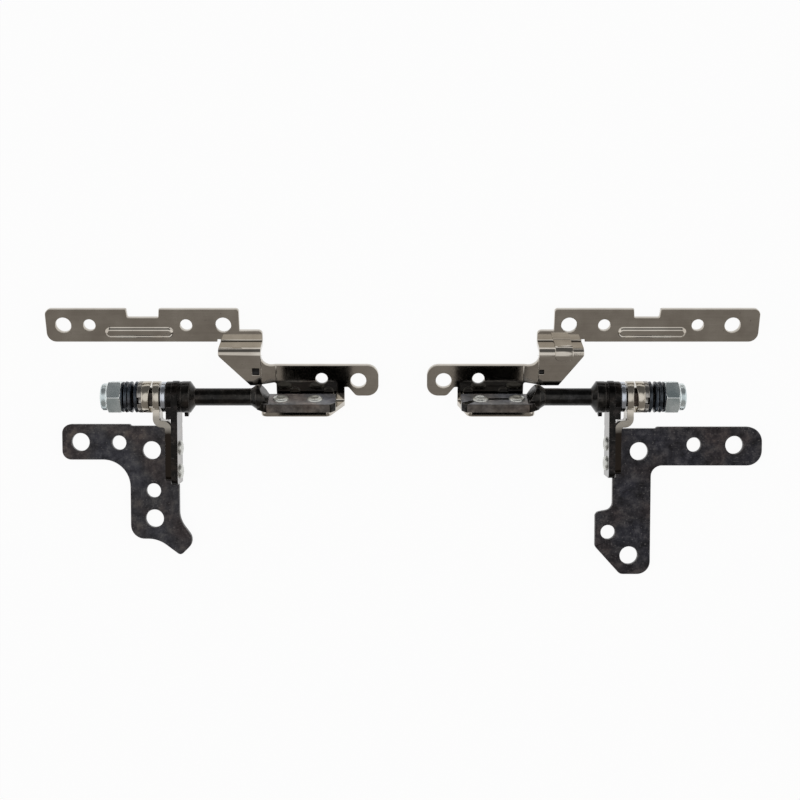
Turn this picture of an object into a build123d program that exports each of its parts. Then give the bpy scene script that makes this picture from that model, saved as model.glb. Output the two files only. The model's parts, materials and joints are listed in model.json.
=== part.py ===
from build123d import *
import os
from math import cos, radians, sin, tan

os.makedirs("parts", exist_ok=True)

# Laptop hinge pair, in millimetres. X runs along the hinge axes, Y towards the
# display and Z up. Each hinge is drawn with its nut towards +X and with X = 0 at
# the inner face of its ear. The left one is mirrored when it is placed.

# Fits
RUN = 0.05                # radial clearance of the journal in the holes it turns in
FIT = 0.03                # radial clearance of pieces that turn together
AXIAL = 0.05              # end play between turning and standing faces
RELIEF = 0.5              # width of the slits that free a bend at its ends

# Hinge axis
AXIS_H = 3.5              # height over the underside of the base brackets
OPEN_TILT = 19.0          # rise of the display brackets, open at 161 degrees

# Base bracket sheet
BASE_T = 0.95
BASE_BEND_R = 0.4
BASE_SCREW_D = 2.75       # clearance for M2.5
BASE_PIN_D = 2.2
EAR_R = 2.4               # round head of the ear about the axis
EAR_CORNER_R = 0.8
ARM_STEP = 0.25           # upper edge of the arm, lower beside the ear
ARM_STEP_X = 7.8
ARM_STEP_R = 0.3

# Cam bracket sheet and cam faces
CAM_T = 1.0
CAM_BEND_R = 0.35
CAM_RING_D = 4.7
CAM_RING_X = 2.75         # inner face of the ring
CAM_STEP_Y = -3.45        # upper face of the joggle
CAM_RISE = 0.15           # cam peaks over the sheet of the leg
CAM_DEPTH = 0.3           # fall from cam peak to cam valley
CAM_GAP = 0.12            # between the peaks of the two cams
CAM_TOP_DROP = 0.7        # plate edge below the top of the ear
LEG_W = 3.0

# Rivets of the ear
RIVET_LAND = 0.4          # width of the sloping rim of a rivet head
EAR_RIVET_D = 1.4
EAR_RIVET_HEAD_D = 2.2
EAR_RIVET_HEAD_H = 0.4
EAR_RIVET_TAIL_D = 1.9
EAR_RIVET_TAIL_H = 0.15
EAR_RIVET_Z = 3.3

# Friction plate
FRICTION_T = 0.85
FRICTION_HEAD_R = 2.3
FRICTION_TAIL_W = 3.6
FRICTION_TAIL_GAP = 0.2   # from the tail to the joggle of the cam bracket

# Shaft
JOURNAL_D = 2.8
SHAFT_D = 2.6
FLATS_W = 2.0             # across the two flats
THREAD_D = 2.4
COLLAR_D = 4.7
COLLAR_L = 1.2
CONE_L = 0.75
FLARE_D = 3.7
FLARE_L = 0.8
FACET_START = 1.2         # facet from the small end of the flare
FACET_L = 1.3
TONGUE_W = 4.2
TONGUE_T = 1.3
TONGUE_UNDER = 1.6        # underside of the tongue below the axis
TONGUE_SHIFT = 0.15       # middle of the tongue, towards the front
TONGUE_CORNER = 0.7
TONGUE_END_R = 0.28
LUG_H = 0.6
LUG_L = 0.6
LUG_W = 1.1
LUG_SET = 0.2             # lug from the face of the collar
END_PROUD = 0.25          # shaft end inside the nut collar

# Washers, springs and nut on the shaft
STOP_WASHER_T = 0.4
STOP_WASHER_D = 4.6
THRUST_T = 0.7
THRUST_D = 4.5
TURN_CAM_L = 1.3
TURN_CAM_D = 4.7
KEY_WASHER_T = 0.6
KEY_WASHER_D = 4.7
KEY_NOTCH_W = 1.0
KEY_NOTCH_DEPTH = 0.6
KEY_NOTCH_TURN = 83.0
SPRING_COUNT = 3
SPRING_D = 4.7
SPRING_T = 0.55
SPRING_CONE = 0.2
SPRING_LAND = 0.15
END_WASHER_T = 0.2
END_WASHER_D = 4.5
NUT_AF = 4.5
NUT_L = 2.2
NUT_CHAMFER = 0.3
NUT_TURN = 11.0
NUT_COLLAR_D = 4.0
NUT_COLLAR_L = 0.9
NUT_COLLAR_R = 0.35
INSERT_D = 3.2
INSERT_L = 0.8
LIP_D = 2.8
LIP_L = 0.2

# Display bracket sheet. U runs from the axis along the strips and N is square to
# them, towards the front.
LID_T = 0.75
LID_BEND_R = 0.25
LID_SCREW_D = 2.35        # clearance for M2
LID_PIN_D = 1.8
LONG_LOW_U = 6.75
LONG_TOP_U = 11.9
LONG_ROW_U = 9.4
LONG_LOW_R = 1.4
LONG_TOP_R = 0.9
LONG_IN_R = 0.45
SHOULDER_U = 8.5
SHOULDER_R = 0.6
SHELF_U = 6.9             # upper face of the shelf
WEB_N = -1.5              # front of the web
WEB_LOW_U = 1.2
WEB_R = 0.8
JOGGLE_L = 2.1
JOGGLE_R = 0.6
JOGGLE_TOP_U = 5.7
JOGGLE_LOW_U = 1.35
JOGGLE_LEAN = 0.3
JOGGLE_EDGE_R = 0.4
SHORT_N = -2.45           # front of the short strip
SHORT_TOP_U = 4.05
SHORT_TOP_R = 1.8
SHORT_SCREW_U = 1.6
SHORT_PIN_U = 1.9
LOBE_LOW_U = -0.85
LOBE_R = 1.7
LOBE_NOTCH_U = 0.55
LOBE_NECK_L = 1.1
LOBE_NECK_R = 0.8
FLANGE_END_N = 2.0
FLANGE_CORNER_R = 0.9
FLANGE_SHORT = 0.3        # flange inside the root of the tongue
RIB_L = 10.1
RIB_W = 1.5
RIB_H = 0.3
RIB_WALL = 0.35
RIB_U = 8.25
NOTCH_DEPTH = 1.35
NOTCH_SLOPE = 0.9
NOTCH_R = 0.5
DIMPLE_D = 1.5
DIMPLE_H = 0.2
DIMPLE_OVER = 0.1         # middle of the dimples above the tongue
DART_W = 2.6              # raised dart across the bend of the step
DART_H = 0.28
DART_LOW_U = 5.2
DART_R = 0.6
PUNCH_DEPTH = 0.45        # blind mark punched into the web

# Tongue rivets
TONGUE_RIVET_D = 1.5
TONGUE_RIVET_HEAD_D = 2.4
TONGUE_RIVET_HEAD_H = 0.35
TONGUE_RIVET_TAIL_D = 2.1
TONGUE_RIVET_TAIL_H = 0.3

# Left hinge
LEFT_EAR_X = 32.8         # ear from the middle of the pair
LEFT_EAR_END_Y = -12.9
LEFT_ARM_END_X = 18.2
LEFT_ARM_TOP_Y = -4.3
LEFT_ARM_LOW_Y = -9.65
LEFT_ARM_R = 1.35
LEFT_CROTCH_R = 4.1
LEFT_LEG_X = 8.0
LEFT_LEG_LOW_Y = -21.7
LEFT_LEG_R = 2.1
LEFT_FOOT = (3.9, LEFT_LEG_LOW_Y, 4.5)
LEFT_FOOT_TIP = (0.5, -24.25, 0.6)
LEFT_FOOT_IN = (-1.75, -22.05, 1.7)
LEFT_FOOT_ROOT = (0.65, -18.8, 4.0)
LEFT_BASE_SCREWS = ((15.45, -7.0), (4.74, -8.25), (4.39, -18.6))
LEFT_BASE_PINS = ((9.65, -7.1), (4.5, -14.35))
LEFT_EAR_RIVETS_Y = (-7.6, -11.1)
LEFT_FLARE_X = -10.7
LEFT_TONGUE_END_X = -23.2
LEFT_TONGUE_RIVETS_X = (-15.05, -20.1)
LEFT_DIMPLES_X = (-17.0, -22.0)
LEFT_LONG_OUT_X = 20.2
LEFT_LONG_IN_X = -8.7
LEFT_LONG_SCREWS_X = (17.6, -6.3)
LEFT_LONG_PINS_X = (13.7, -0.75)
LEFT_NOTCH_X = (8.1, 3.2)
LEFT_RIB_X = 6.3
LEFT_WEB_OUT_X = -5.8
LEFT_WEB_IN_X = -12.1
LEFT_WEB_TIP_X = -10.4
LEFT_SHORT_END_X = -29.5
LEFT_SHORT_SCREW_X = -26.5
LEFT_SHORT_PIN_X = -21.0
LEFT_LOBE_L = 3.4
LEFT_FLANGE_ROOT_X = -24.4
LEFT_FLANGE_END_X = -22.3
LEFT_PUNCH = (-11.3, 3.4, 1.0)

# Right hinge
RIGHT_EAR_X = 30.65
RIGHT_EAR_END_Y = -11.9
RIGHT_ARM_END_X = 23.85
RIGHT_ARM_TOP_Y = -4.7
RIGHT_ARM_LOW_Y = -10.55
RIGHT_ARM_R = 2.25
RIGHT_CROTCH_R = 1.65
RIGHT_LEG_X = 7.15
RIGHT_LEG_LOW_Y = -27.1
RIGHT_LEG_R = 1.95
RIGHT_FOOT = (2.6, RIGHT_LEG_LOW_Y, 1.0)
RIGHT_FOOT_TIP = (-1.2, -22.9, 0.8)
RIGHT_FOOT_IN = (-1.2, -17.7, 0.75)
RIGHT_FOOT_ROOT = (1.4, -17.2, 1.2)
RIGHT_BASE_SCREWS = ((19.7, -7.45), (5.33, -8.4), (3.94, -24.25))
RIGHT_BASE_PINS = ((13.6, -7.4), (0.75, -20.7))
RIGHT_EAR_RIVETS_Y = (-7.0, -9.9)
RIGHT_FLARE_X = -9.3
RIGHT_TONGUE_END_X = -21.65
RIGHT_TONGUE_RIVETS_X = (-13.4, -18.8)
RIGHT_DIMPLES_X = (-15.3, -20.5)
RIGHT_LONG_OUT_X = 22.95
RIGHT_LONG_IN_X = -7.7
RIGHT_LONG_SCREWS_X = (18.97, -5.45)
RIGHT_LONG_PINS_X = (13.77, -0.2)
RIGHT_NOTCH_X = (8.1, 4.1)
RIGHT_RIB_X = 7.0
RIGHT_WEB_OUT_X = -3.5
RIGHT_WEB_IN_X = -10.15
RIGHT_WEB_TIP_X = -7.1
RIGHT_SHORT_END_X = -26.7
RIGHT_SHORT_SCREW_X = -24.2
RIGHT_SHORT_PIN_X = -19.0
RIGHT_LOBE_L = 3.0
RIGHT_FLANGE_ROOT_X = -22.1
RIGHT_FLANGE_END_X = -20.7
RIGHT_PUNCH = (-9.7, 3.35, 0.65)
RIGHT_DART_X = -6.45

LEFT = {
    "side": -1,
    "ear_x": LEFT_EAR_X,
    "ear_end": LEFT_EAR_END_Y,
    "arm_end": LEFT_ARM_END_X,
    "arm_top": LEFT_ARM_TOP_Y,
    "arm_low": LEFT_ARM_LOW_Y,
    "arm_r": LEFT_ARM_R,
    "crotch_r": LEFT_CROTCH_R,
    "leg": LEFT_LEG_X,
    "leg_low": LEFT_LEG_LOW_Y,
    "leg_r": LEFT_LEG_R,
    "foot": (LEFT_FOOT, LEFT_FOOT_TIP, LEFT_FOOT_IN, LEFT_FOOT_ROOT),
    "base_screws": LEFT_BASE_SCREWS,
    "base_pins": LEFT_BASE_PINS,
    "ear_rivets": LEFT_EAR_RIVETS_Y,
    "flare": LEFT_FLARE_X,
    "tongue_end": LEFT_TONGUE_END_X,
    "tongue_rivets": LEFT_TONGUE_RIVETS_X,
    "dimples": LEFT_DIMPLES_X,
    "long_out": LEFT_LONG_OUT_X,
    "long_in": LEFT_LONG_IN_X,
    "long_screws": LEFT_LONG_SCREWS_X,
    "long_pins": LEFT_LONG_PINS_X,
    "notch": LEFT_NOTCH_X,
    "rib": LEFT_RIB_X,
    "web_out": LEFT_WEB_OUT_X,
    "web_in": LEFT_WEB_IN_X,
    "web_tip": LEFT_WEB_TIP_X,
    "short_end": LEFT_SHORT_END_X,
    "short_screw": LEFT_SHORT_SCREW_X,
    "short_pin": LEFT_SHORT_PIN_X,
    "lobe_l": LEFT_LOBE_L,
    "flange_root": LEFT_FLANGE_ROOT_X,
    "flange_end": LEFT_FLANGE_END_X,
    "punch": LEFT_PUNCH,
    "darts": (),
}

RIGHT = {
    "side": 1,
    "ear_x": RIGHT_EAR_X,
    "ear_end": RIGHT_EAR_END_Y,
    "arm_end": RIGHT_ARM_END_X,
    "arm_top": RIGHT_ARM_TOP_Y,
    "arm_low": RIGHT_ARM_LOW_Y,
    "arm_r": RIGHT_ARM_R,
    "crotch_r": RIGHT_CROTCH_R,
    "leg": RIGHT_LEG_X,
    "leg_low": RIGHT_LEG_LOW_Y,
    "leg_r": RIGHT_LEG_R,
    "foot": (RIGHT_FOOT, RIGHT_FOOT_TIP, RIGHT_FOOT_IN, RIGHT_FOOT_ROOT),
    "base_screws": RIGHT_BASE_SCREWS,
    "base_pins": RIGHT_BASE_PINS,
    "ear_rivets": RIGHT_EAR_RIVETS_Y,
    "flare": RIGHT_FLARE_X,
    "tongue_end": RIGHT_TONGUE_END_X,
    "tongue_rivets": RIGHT_TONGUE_RIVETS_X,
    "dimples": RIGHT_DIMPLES_X,
    "long_out": RIGHT_LONG_OUT_X,
    "long_in": RIGHT_LONG_IN_X,
    "long_screws": RIGHT_LONG_SCREWS_X,
    "long_pins": RIGHT_LONG_PINS_X,
    "notch": RIGHT_NOTCH_X,
    "rib": RIGHT_RIB_X,
    "web_out": RIGHT_WEB_OUT_X,
    "web_in": RIGHT_WEB_IN_X,
    "web_tip": RIGHT_WEB_TIP_X,
    "short_end": RIGHT_SHORT_END_X,
    "short_screw": RIGHT_SHORT_SCREW_X,
    "short_pin": RIGHT_SHORT_PIN_X,
    "lobe_l": RIGHT_LOBE_L,
    "flange_root": RIGHT_FLANGE_ROOT_X,
    "flange_end": RIGHT_FLANGE_END_X,
    "punch": RIGHT_PUNCH,
    "darts": (RIGHT_DART_X,),
}

# Places along the shaft that follow from the stack of pieces
FOLD = BASE_T + BASE_BEND_R
EAR_TOP = AXIS_H + EAR_R
FRICTION_END = BASE_T + FRICTION_T
THRUST_X = FRICTION_END + AXIAL
CAM_PEAK = CAM_RING_X + CAM_T + CAM_RISE
TURN_CAM_X = CAM_PEAK + CAM_GAP
KEY_WASHER_X = TURN_CAM_X + TURN_CAM_L
SPRING_X = KEY_WASHER_X + KEY_WASHER_T
SPRING_H = SPRING_T + SPRING_CONE
END_WASHER_X = SPRING_X + SPRING_COUNT * SPRING_H
NUT_X = END_WASHER_X + END_WASHER_T
NUT_COLLAR_X = NUT_X + NUT_L
NUT_END_X = NUT_COLLAR_X + NUT_COLLAR_L
SHAFT_END_X = NUT_END_X - END_PROUD
COLLAR_X = -AXIAL - STOP_WASHER_T
CONE_X = COLLAR_X - COLLAR_L
ROUND_X = CONE_X - CONE_L
HOLE_R = JOURNAL_D / 2 + RUN
TONGUE_TOP = TONGUE_T - TONGUE_UNDER

# The long strip stands with its lower back edge on the same floor as the base plates
LONG_BACK_N = -(AXIS_H + LONG_LOW_U * sin(radians(OPEN_TILT))) / cos(radians(OPEN_TILT))
LONG_N = LONG_BACK_N + LID_T


def outline(corners):
    """Flat face through corners (x, y, radius), each rounded to its radius."""
    joins = []
    for i, (x, y, r) in enumerate(corners):
        last = corners[i - 1]
        after = corners[(i + 1) % len(corners)]
        p = Vector(x, y)
        a = (Vector(last[0], last[1]) - p).normalized()
        b = (Vector(after[0], after[1]) - p).normalized()
        half = radians(a.get_angle(b)) / 2
        cut = r / tan(half)
        middle = p
        if r > 0:
            middle = p + (a + b).normalized() * (r / sin(half) - r)
        joins.append((p + a * cut, middle, p + b * cut, r))
    edges = []
    for i, (start, middle, end, r) in enumerate(joins):
        if r > 0:
            edges.append(ThreePointArc(start, middle, end))
        following = joins[(i + 1) % len(joins)][0]
        if (following - end).length > 1e-6:
            edges.append(Line(end, following))
    return make_face(edges)


def prism_x(face, x0, x1):
    """Face drawn in Y and Z, pulled from x0 to x1."""
    return extrude(Plane.YZ.offset(x0) * face, x1 - x0)


def prism_y(face, y0, y1):
    """Face drawn in X and Z, pulled from y0 to y1."""
    return extrude(Plane.XZ.offset(-y1) * face, y1 - y0)


def prism_z(face, z0, z1):
    """Face drawn in X and Y, pulled from z0 to z1."""
    return extrude(Pos(0, 0, z0) * face, z1 - z0)


def tube(outer_r, inner_r, x0, x1):
    """Ring about the X axis."""
    return prism_x(Circle(outer_r) - Circle(inner_r), x0, x1)


def turned(*points):
    """Solid of revolution about X through points (x, radius)."""
    return revolve(make_face(Polyline(*points, close=True)), Axis.X)


def keyed_hole(x0, x1):
    """Cutter for the hole of a piece that sits on the two flats."""
    span = JOURNAL_D + 4 * FIT
    return prism_x(Circle(JOURNAL_D / 2 + FIT) & Rectangle(span, FLATS_W + 2 * FIT), x0, x1)


def rivet(grip, shank_d, head_d, head_h, tail_d, tail_h):
    """Rivet along +X, its head below X = 0 and its tail above X = grip."""
    return turned(
        (-head_h, 0),
        (-head_h, head_d / 2 - RIVET_LAND),
        (-head_h / 3, head_d / 2),
        (0, head_d / 2),
        (0, shank_d / 2),
        (grip, shank_d / 2),
        (grip, tail_d / 2),
        (grip + tail_h / 3, tail_d / 2),
        (grip + tail_h, tail_d / 2 - RIVET_LAND),
        (grip + tail_h, 0),
    )


def base_bracket(h):
    """Flat plate with arm and leg, and the ear folded up along its inner edge."""
    foot, tip, inner, root = h["foot"]
    slit = h["ear_end"] - RELIEF
    arm_in = h["arm_top"] - ARM_STEP
    plate = outline([
        (FOLD, arm_in, 0),
        (ARM_STEP_X, arm_in, ARM_STEP_R),
        (ARM_STEP_X + ARM_STEP, h["arm_top"], ARM_STEP_R),
        (h["arm_end"], h["arm_top"], h["arm_r"]),
        (h["arm_end"], h["arm_low"], h["arm_r"]),
        (h["leg"], h["arm_low"], h["crotch_r"]),
        (h["leg"], h["leg_low"], h["leg_r"]),
        foot,
        tip,
        inner,
        root,
        (root[0], slit, 0),
        (FOLD + RELIEF, slit, 0),
        (FOLD + RELIEF, h["ear_end"], 0),
        (FOLD, h["ear_end"], 0),
    ])
    for x, y in h["base_screws"]:
        plate -= Pos(x, y) * Circle(BASE_SCREW_D / 2)
    for x, y in h["base_pins"]:
        plate -= Pos(x, y) * Circle(BASE_PIN_D / 2)
    bend = outline([
        (FOLD, 0, 0),
        (0, 0, FOLD),
        (0, FOLD, 0),
        (BASE_T, FOLD, 0),
        (BASE_T, BASE_T, BASE_BEND_R),
        (FOLD, BASE_T, 0),
    ])
    ear = outline([
        (h["ear_end"], FOLD, 0),
        (h["ear_end"], EAR_TOP, EAR_CORNER_R),
        (EAR_R, EAR_TOP, EAR_R),
        (EAR_R, AXIS_H - EAR_R, EAR_R),
        (arm_in + RELIEF, AXIS_H - EAR_R, 0),
        (arm_in + RELIEF, FOLD, 0),
    ])
    ear -= Pos(0, AXIS_H) * Circle(HOLE_R)
    for y in h["ear_rivets"]:
        ear -= Pos(y, EAR_RIVET_Z) * Circle(EAR_RIVET_D / 2 + FIT)
    return (
        prism_z(plate, 0, BASE_T)
        + prism_y(bend, h["ear_end"], arm_in)
        + prism_x(ear, 0, BASE_T)
    )


def cam_valley(peak_x, away):
    """Cutter that hollows a cam face across the axis, away = +1 or -1 along X."""
    half = CAM_RING_D / 2
    radius = (half**2 + CAM_DEPTH**2) / (2 * CAM_DEPTH)
    middle = peak_x + away * (radius - CAM_DEPTH)
    return Pos(middle, 0, 0) * Cylinder(radius, 2 * CAM_RING_D)


def cam_bracket(h):
    """Plate on the ear, joggle, leg, and the ring with the fixed cam face."""
    outer_r = CAM_BEND_R + CAM_T
    low = CAM_STEP_Y - CAM_T
    leg_top = -HOLE_R
    sheet = outline([
        (BASE_T, h["ear_end"] + RELIEF, 0),
        (BASE_T, CAM_STEP_Y, outer_r),
        (CAM_RING_X, CAM_STEP_Y, CAM_BEND_R),
        (CAM_RING_X, leg_top, 0),
        (CAM_RING_X + CAM_T, leg_top, 0),
        (CAM_RING_X + CAM_T, low, outer_r),
        (BASE_T + CAM_T, low, CAM_BEND_R),
        (BASE_T + CAM_T, h["ear_end"] + RELIEF, 0),
    ])
    plate_low = FOLD + AXIAL
    plate_top = EAR_TOP - CAM_TOP_DROP
    plate = prism_z(sheet, plate_low, plate_top)
    side = outline([
        (h["ear_end"] + RELIEF, plate_low, 0),
        (h["ear_end"] + RELIEF, plate_top, EAR_CORNER_R),
        (low - CAM_T, plate_top, CAM_T),
        (CAM_STEP_Y + CAM_T, AXIS_H + LEG_W / 2, CAM_T),
        (leg_top, AXIS_H + LEG_W / 2, 0),
        (leg_top, AXIS_H - LEG_W / 2, 0),
        (CAM_STEP_Y, AXIS_H - LEG_W / 2, 0),
        (low - CAM_T, plate_low, 0),
    ])
    plate = plate & prism_x(side, 0, CAM_PEAK + CAM_T)
    ring = Pos(0, 0, AXIS_H) * tube(CAM_RING_D / 2, HOLE_R, CAM_RING_X, CAM_PEAK)
    bracket = plate + ring
    bracket -= Pos(0, 0, AXIS_H) * prism_x(Circle(HOLE_R), 0, CAM_PEAK + CAM_T)
    bracket -= Pos(0, 0, AXIS_H) * cam_valley(CAM_PEAK, 1)
    for y in h["ear_rivets"]:
        hole = prism_x(Circle(EAR_RIVET_D / 2 + FIT), 0, BASE_T + CAM_T + AXIAL)
        bracket -= Pos(0, y, EAR_RIVET_Z) * hole
    return bracket


def ear_rivets(h):
    """Two rivets through ear and cam bracket."""
    one = rivet(
        BASE_T + CAM_T,
        EAR_RIVET_D,
        EAR_RIVET_HEAD_D,
        EAR_RIVET_HEAD_H,
        EAR_RIVET_TAIL_D,
        EAR_RIVET_TAIL_H,
    )
    return Compound([Pos(0, y, EAR_RIVET_Z) * one for y in h["ear_rivets"]])


def friction_plate(h):
    """Plate with a round head on the journal and a tail above the joggle."""
    tail_y = CAM_STEP_Y + FRICTION_TAIL_GAP
    face = Circle(FRICTION_HEAD_R)
    face += Pos(tail_y / 2, 0) * Rectangle(-tail_y, FRICTION_TAIL_W)
    face -= Circle(HOLE_R)
    return Pos(0, 0, AXIS_H) * prism_x(face, BASE_T, FRICTION_END)


def shaft(h):
    """Collar, round shaft, flare and tongue on one side, flats and thread on the other."""
    flare_end = h["flare"] - FLARE_L
    root_end = h["flare"] - FACET_START - FACET_L
    solid = turned(
        (root_end, 0),
        (root_end, FLARE_D / 2),
        (flare_end, FLARE_D / 2),
        (h["flare"], SHAFT_D / 2),
        (ROUND_X, SHAFT_D / 2),
        (CONE_X, COLLAR_D / 2),
        (COLLAR_X, COLLAR_D / 2),
        (COLLAR_X, JOURNAL_D / 2),
        (NUT_X, JOURNAL_D / 2),
        (NUT_X, THREAD_D / 2),
        (SHAFT_END_X, THREAD_D / 2),
        (SHAFT_END_X, 0),
    )
    flat = outline([
        (FRICTION_END, FLATS_W / 2, 0),
        (FRICTION_END, COLLAR_D, 0),
        (NUT_END_X, COLLAR_D, 0),
        (NUT_END_X, FLATS_W / 2, 0),
    ])
    flat = prism_y(flat, -COLLAR_D, COLLAR_D)
    solid -= flat
    solid -= mirror(flat, Plane.XY)
    facet = outline([
        (h["flare"] - FACET_START, FLARE_D / 2, 0),
        (root_end, TONGUE_TOP, 0),
        (root_end - FACET_L, TONGUE_TOP, 0),
        (root_end - FACET_L, FLARE_D, 0),
        (h["flare"] - FACET_START, FLARE_D, 0),
    ])
    solid -= prism_z(facet, -FLARE_D, FLARE_D)
    under = outline([
        (flare_end, -TONGUE_UNDER, 0),
        (root_end - FACET_L, -TONGUE_UNDER, 0),
        (root_end - FACET_L, -FLARE_D, 0),
        (flare_end, -FLARE_D, 0),
    ])
    solid -= prism_z(under, -FLARE_D, FLARE_D)
    back = TONGUE_SHIFT - TONGUE_W / 2
    front = TONGUE_SHIFT + TONGUE_W / 2
    neck = FLARE_D / 2 - TONGUE_CORNER
    tongue = outline([
        (flare_end, -neck, 0),
        (flare_end - FACET_L, back, TONGUE_CORNER),
        (h["tongue_end"], back, TONGUE_END_R),
        (h["tongue_end"], front - TONGUE_CORNER, TONGUE_END_R),
        (h["tongue_end"] + TONGUE_CORNER, front, TONGUE_END_R),
        (flare_end - FACET_L, front, TONGUE_CORNER),
        (flare_end, neck, 0),
    ])
    tongue = prism_y(tongue, -TONGUE_UNDER, TONGUE_TOP)
    for x in h["tongue_rivets"]:
        hole = Rot(90, 0, 0) * Cylinder(TONGUE_RIVET_D / 2 + FIT, 4 * TONGUE_UNDER)
        tongue -= Pos(x, 0, TONGUE_SHIFT) * hole
    lug = outline([
        (COLLAR_X - LUG_SET, 0, 0),
        (COLLAR_X - LUG_SET - LUG_L, 0, 0),
        (COLLAR_X - LUG_SET - LUG_L, -COLLAR_D / 2 - LUG_H, 0),
        (COLLAR_X - LUG_SET, -COLLAR_D / 2 - LUG_H, 0),
    ])
    return solid + tongue + prism_z(lug, -LUG_W / 2, LUG_W / 2)


def stop_washer(h):
    """Thin washer between the collar and the ear."""
    return tube(STOP_WASHER_D / 2, JOURNAL_D / 2 + FIT, COLLAR_X, -AXIAL)


def thrust_washer(h):
    """Washer on the flats, beside the friction plate."""
    end = THRUST_X + THRUST_T
    return prism_x(Circle(THRUST_D / 2), THRUST_X, end) - keyed_hole(THRUST_X, end)


def turning_cam(h):
    """Cam ring that the flats turn against the fixed cam."""
    ring = prism_x(Circle(TURN_CAM_D / 2), TURN_CAM_X, KEY_WASHER_X)
    ring -= keyed_hole(TURN_CAM_X, KEY_WASHER_X)
    return ring - cam_valley(TURN_CAM_X, -1)


def key_washer(h):
    """Washer on the flats with a notch in its rim."""
    disc = prism_x(Circle(KEY_WASHER_D / 2), KEY_WASHER_X, SPRING_X)
    notch = Pos(KEY_WASHER_D / 2, 0) * Rectangle(2 * KEY_NOTCH_DEPTH, KEY_NOTCH_W)
    notch = Rot(0, 0, KEY_NOTCH_TURN) * notch
    return disc - keyed_hole(KEY_WASHER_X, SPRING_X) - prism_x(notch, KEY_WASHER_X, SPRING_X)


def disc_springs(h):
    """Cone springs that meet hub to hub and rim to rim."""
    bore = JOURNAL_D / 2 + FIT
    rim = SPRING_D / 2
    springs = []
    for i in range(SPRING_COUNT):
        one = turned(
            (0, bore),
            (0, bore + SPRING_LAND),
            (SPRING_CONE, rim),
            (SPRING_H, rim),
            (SPRING_H, rim - SPRING_LAND),
            (SPRING_T, bore),
        )
        if i % 2:
            one = Pos(SPRING_H, 0, 0) * mirror(one, Plane.YZ)
        springs.append(Pos(SPRING_X + i * SPRING_H, 0, 0) * one)
    return Compound(springs)


def end_washer(h):
    """Thin washer under the nut."""
    disc = prism_x(Circle(END_WASHER_D / 2), END_WASHER_X, NUT_X)
    return disc - keyed_hole(END_WASHER_X, NUT_X)


def lock_nut(h):
    """Hexagon with chamfered corners and a rolled collar that holds the insert."""
    across = NUT_AF / 2 / cos(radians(30))
    hexagon = RegularPolygon(NUT_AF / 2, 6, major_radius=False, rotation=NUT_TURN)
    blank = turned(
        (NUT_X, 0),
        (NUT_X, across - NUT_CHAMFER),
        (NUT_X + NUT_CHAMFER / 2, across),
        (NUT_COLLAR_X - NUT_CHAMFER, across),
        (NUT_COLLAR_X, across - 2 * NUT_CHAMFER),
        (NUT_COLLAR_X, 0),
    )
    nut = prism_x(hexagon, NUT_X, NUT_COLLAR_X) & blank
    collar = prism_x(Circle(NUT_COLLAR_D / 2), NUT_COLLAR_X, NUT_END_X)
    rim = collar.edges().filter_by(GeomType.CIRCLE).sort_by(Axis.X)[-1]
    nut += fillet(rim, NUT_COLLAR_R)
    lip = NUT_END_X - LIP_L
    bore = turned(
        (NUT_X, 0),
        (NUT_X, THREAD_D / 2 + FIT),
        (lip - INSERT_L, THREAD_D / 2 + FIT),
        (lip - INSERT_L, INSERT_D / 2),
        (lip, INSERT_D / 2),
        (lip, LIP_D / 2),
        (NUT_END_X, LIP_D / 2),
        (NUT_END_X, 0),
    )
    return nut - bore


def nut_insert(h):
    """Nylon ring that grips the thread."""
    lip = NUT_END_X - LIP_L
    return tube(INSERT_D / 2 - FIT, THREAD_D / 2 + FIT, lip - INSERT_L, lip)


def long_strip(h):
    """Outer strip with four holes, an embossed rib and a notch in its edge."""
    fold = SHELF_U + LID_BEND_R
    slit = h["web_out"] + RELIEF
    notch_out, notch_in = h["notch"]
    face = outline([
        (slit, LONG_LOW_U, 0),
        (h["long_out"], LONG_LOW_U, LONG_LOW_R),
        (h["long_out"], LONG_TOP_U, LONG_TOP_R),
        (notch_out, LONG_TOP_U, NOTCH_R),
        (notch_out - NOTCH_SLOPE, LONG_TOP_U - NOTCH_DEPTH, NOTCH_R),
        (notch_in + NOTCH_SLOPE, LONG_TOP_U - NOTCH_DEPTH, NOTCH_R),
        (notch_in, LONG_TOP_U, NOTCH_R),
        (h["long_in"], LONG_TOP_U, LONG_IN_R),
        (h["long_in"], fold, 0),
        (slit, fold, 0),
    ])
    for x in h["long_screws"]:
        face -= Pos(x, LONG_ROW_U) * Circle(LID_SCREW_D / 2)
    for x in h["long_pins"]:
        face -= Pos(x, LONG_ROW_U) * Circle(LID_PIN_D / 2)
    strip = prism_z(face, LONG_BACK_N, LONG_N)
    rib = Pos(h["rib"], RIB_U) * SlotOverall(RIB_L, RIB_W)
    hollow = Pos(h["rib"], RIB_U) * SlotOverall(RIB_L - 2 * RIB_WALL, RIB_W - 2 * RIB_WALL)
    strip += prism_z(rib, LONG_N, LONG_N + RIB_H)
    return strip - prism_z(hollow, LONG_BACK_N, LONG_BACK_N + RIB_H)


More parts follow.
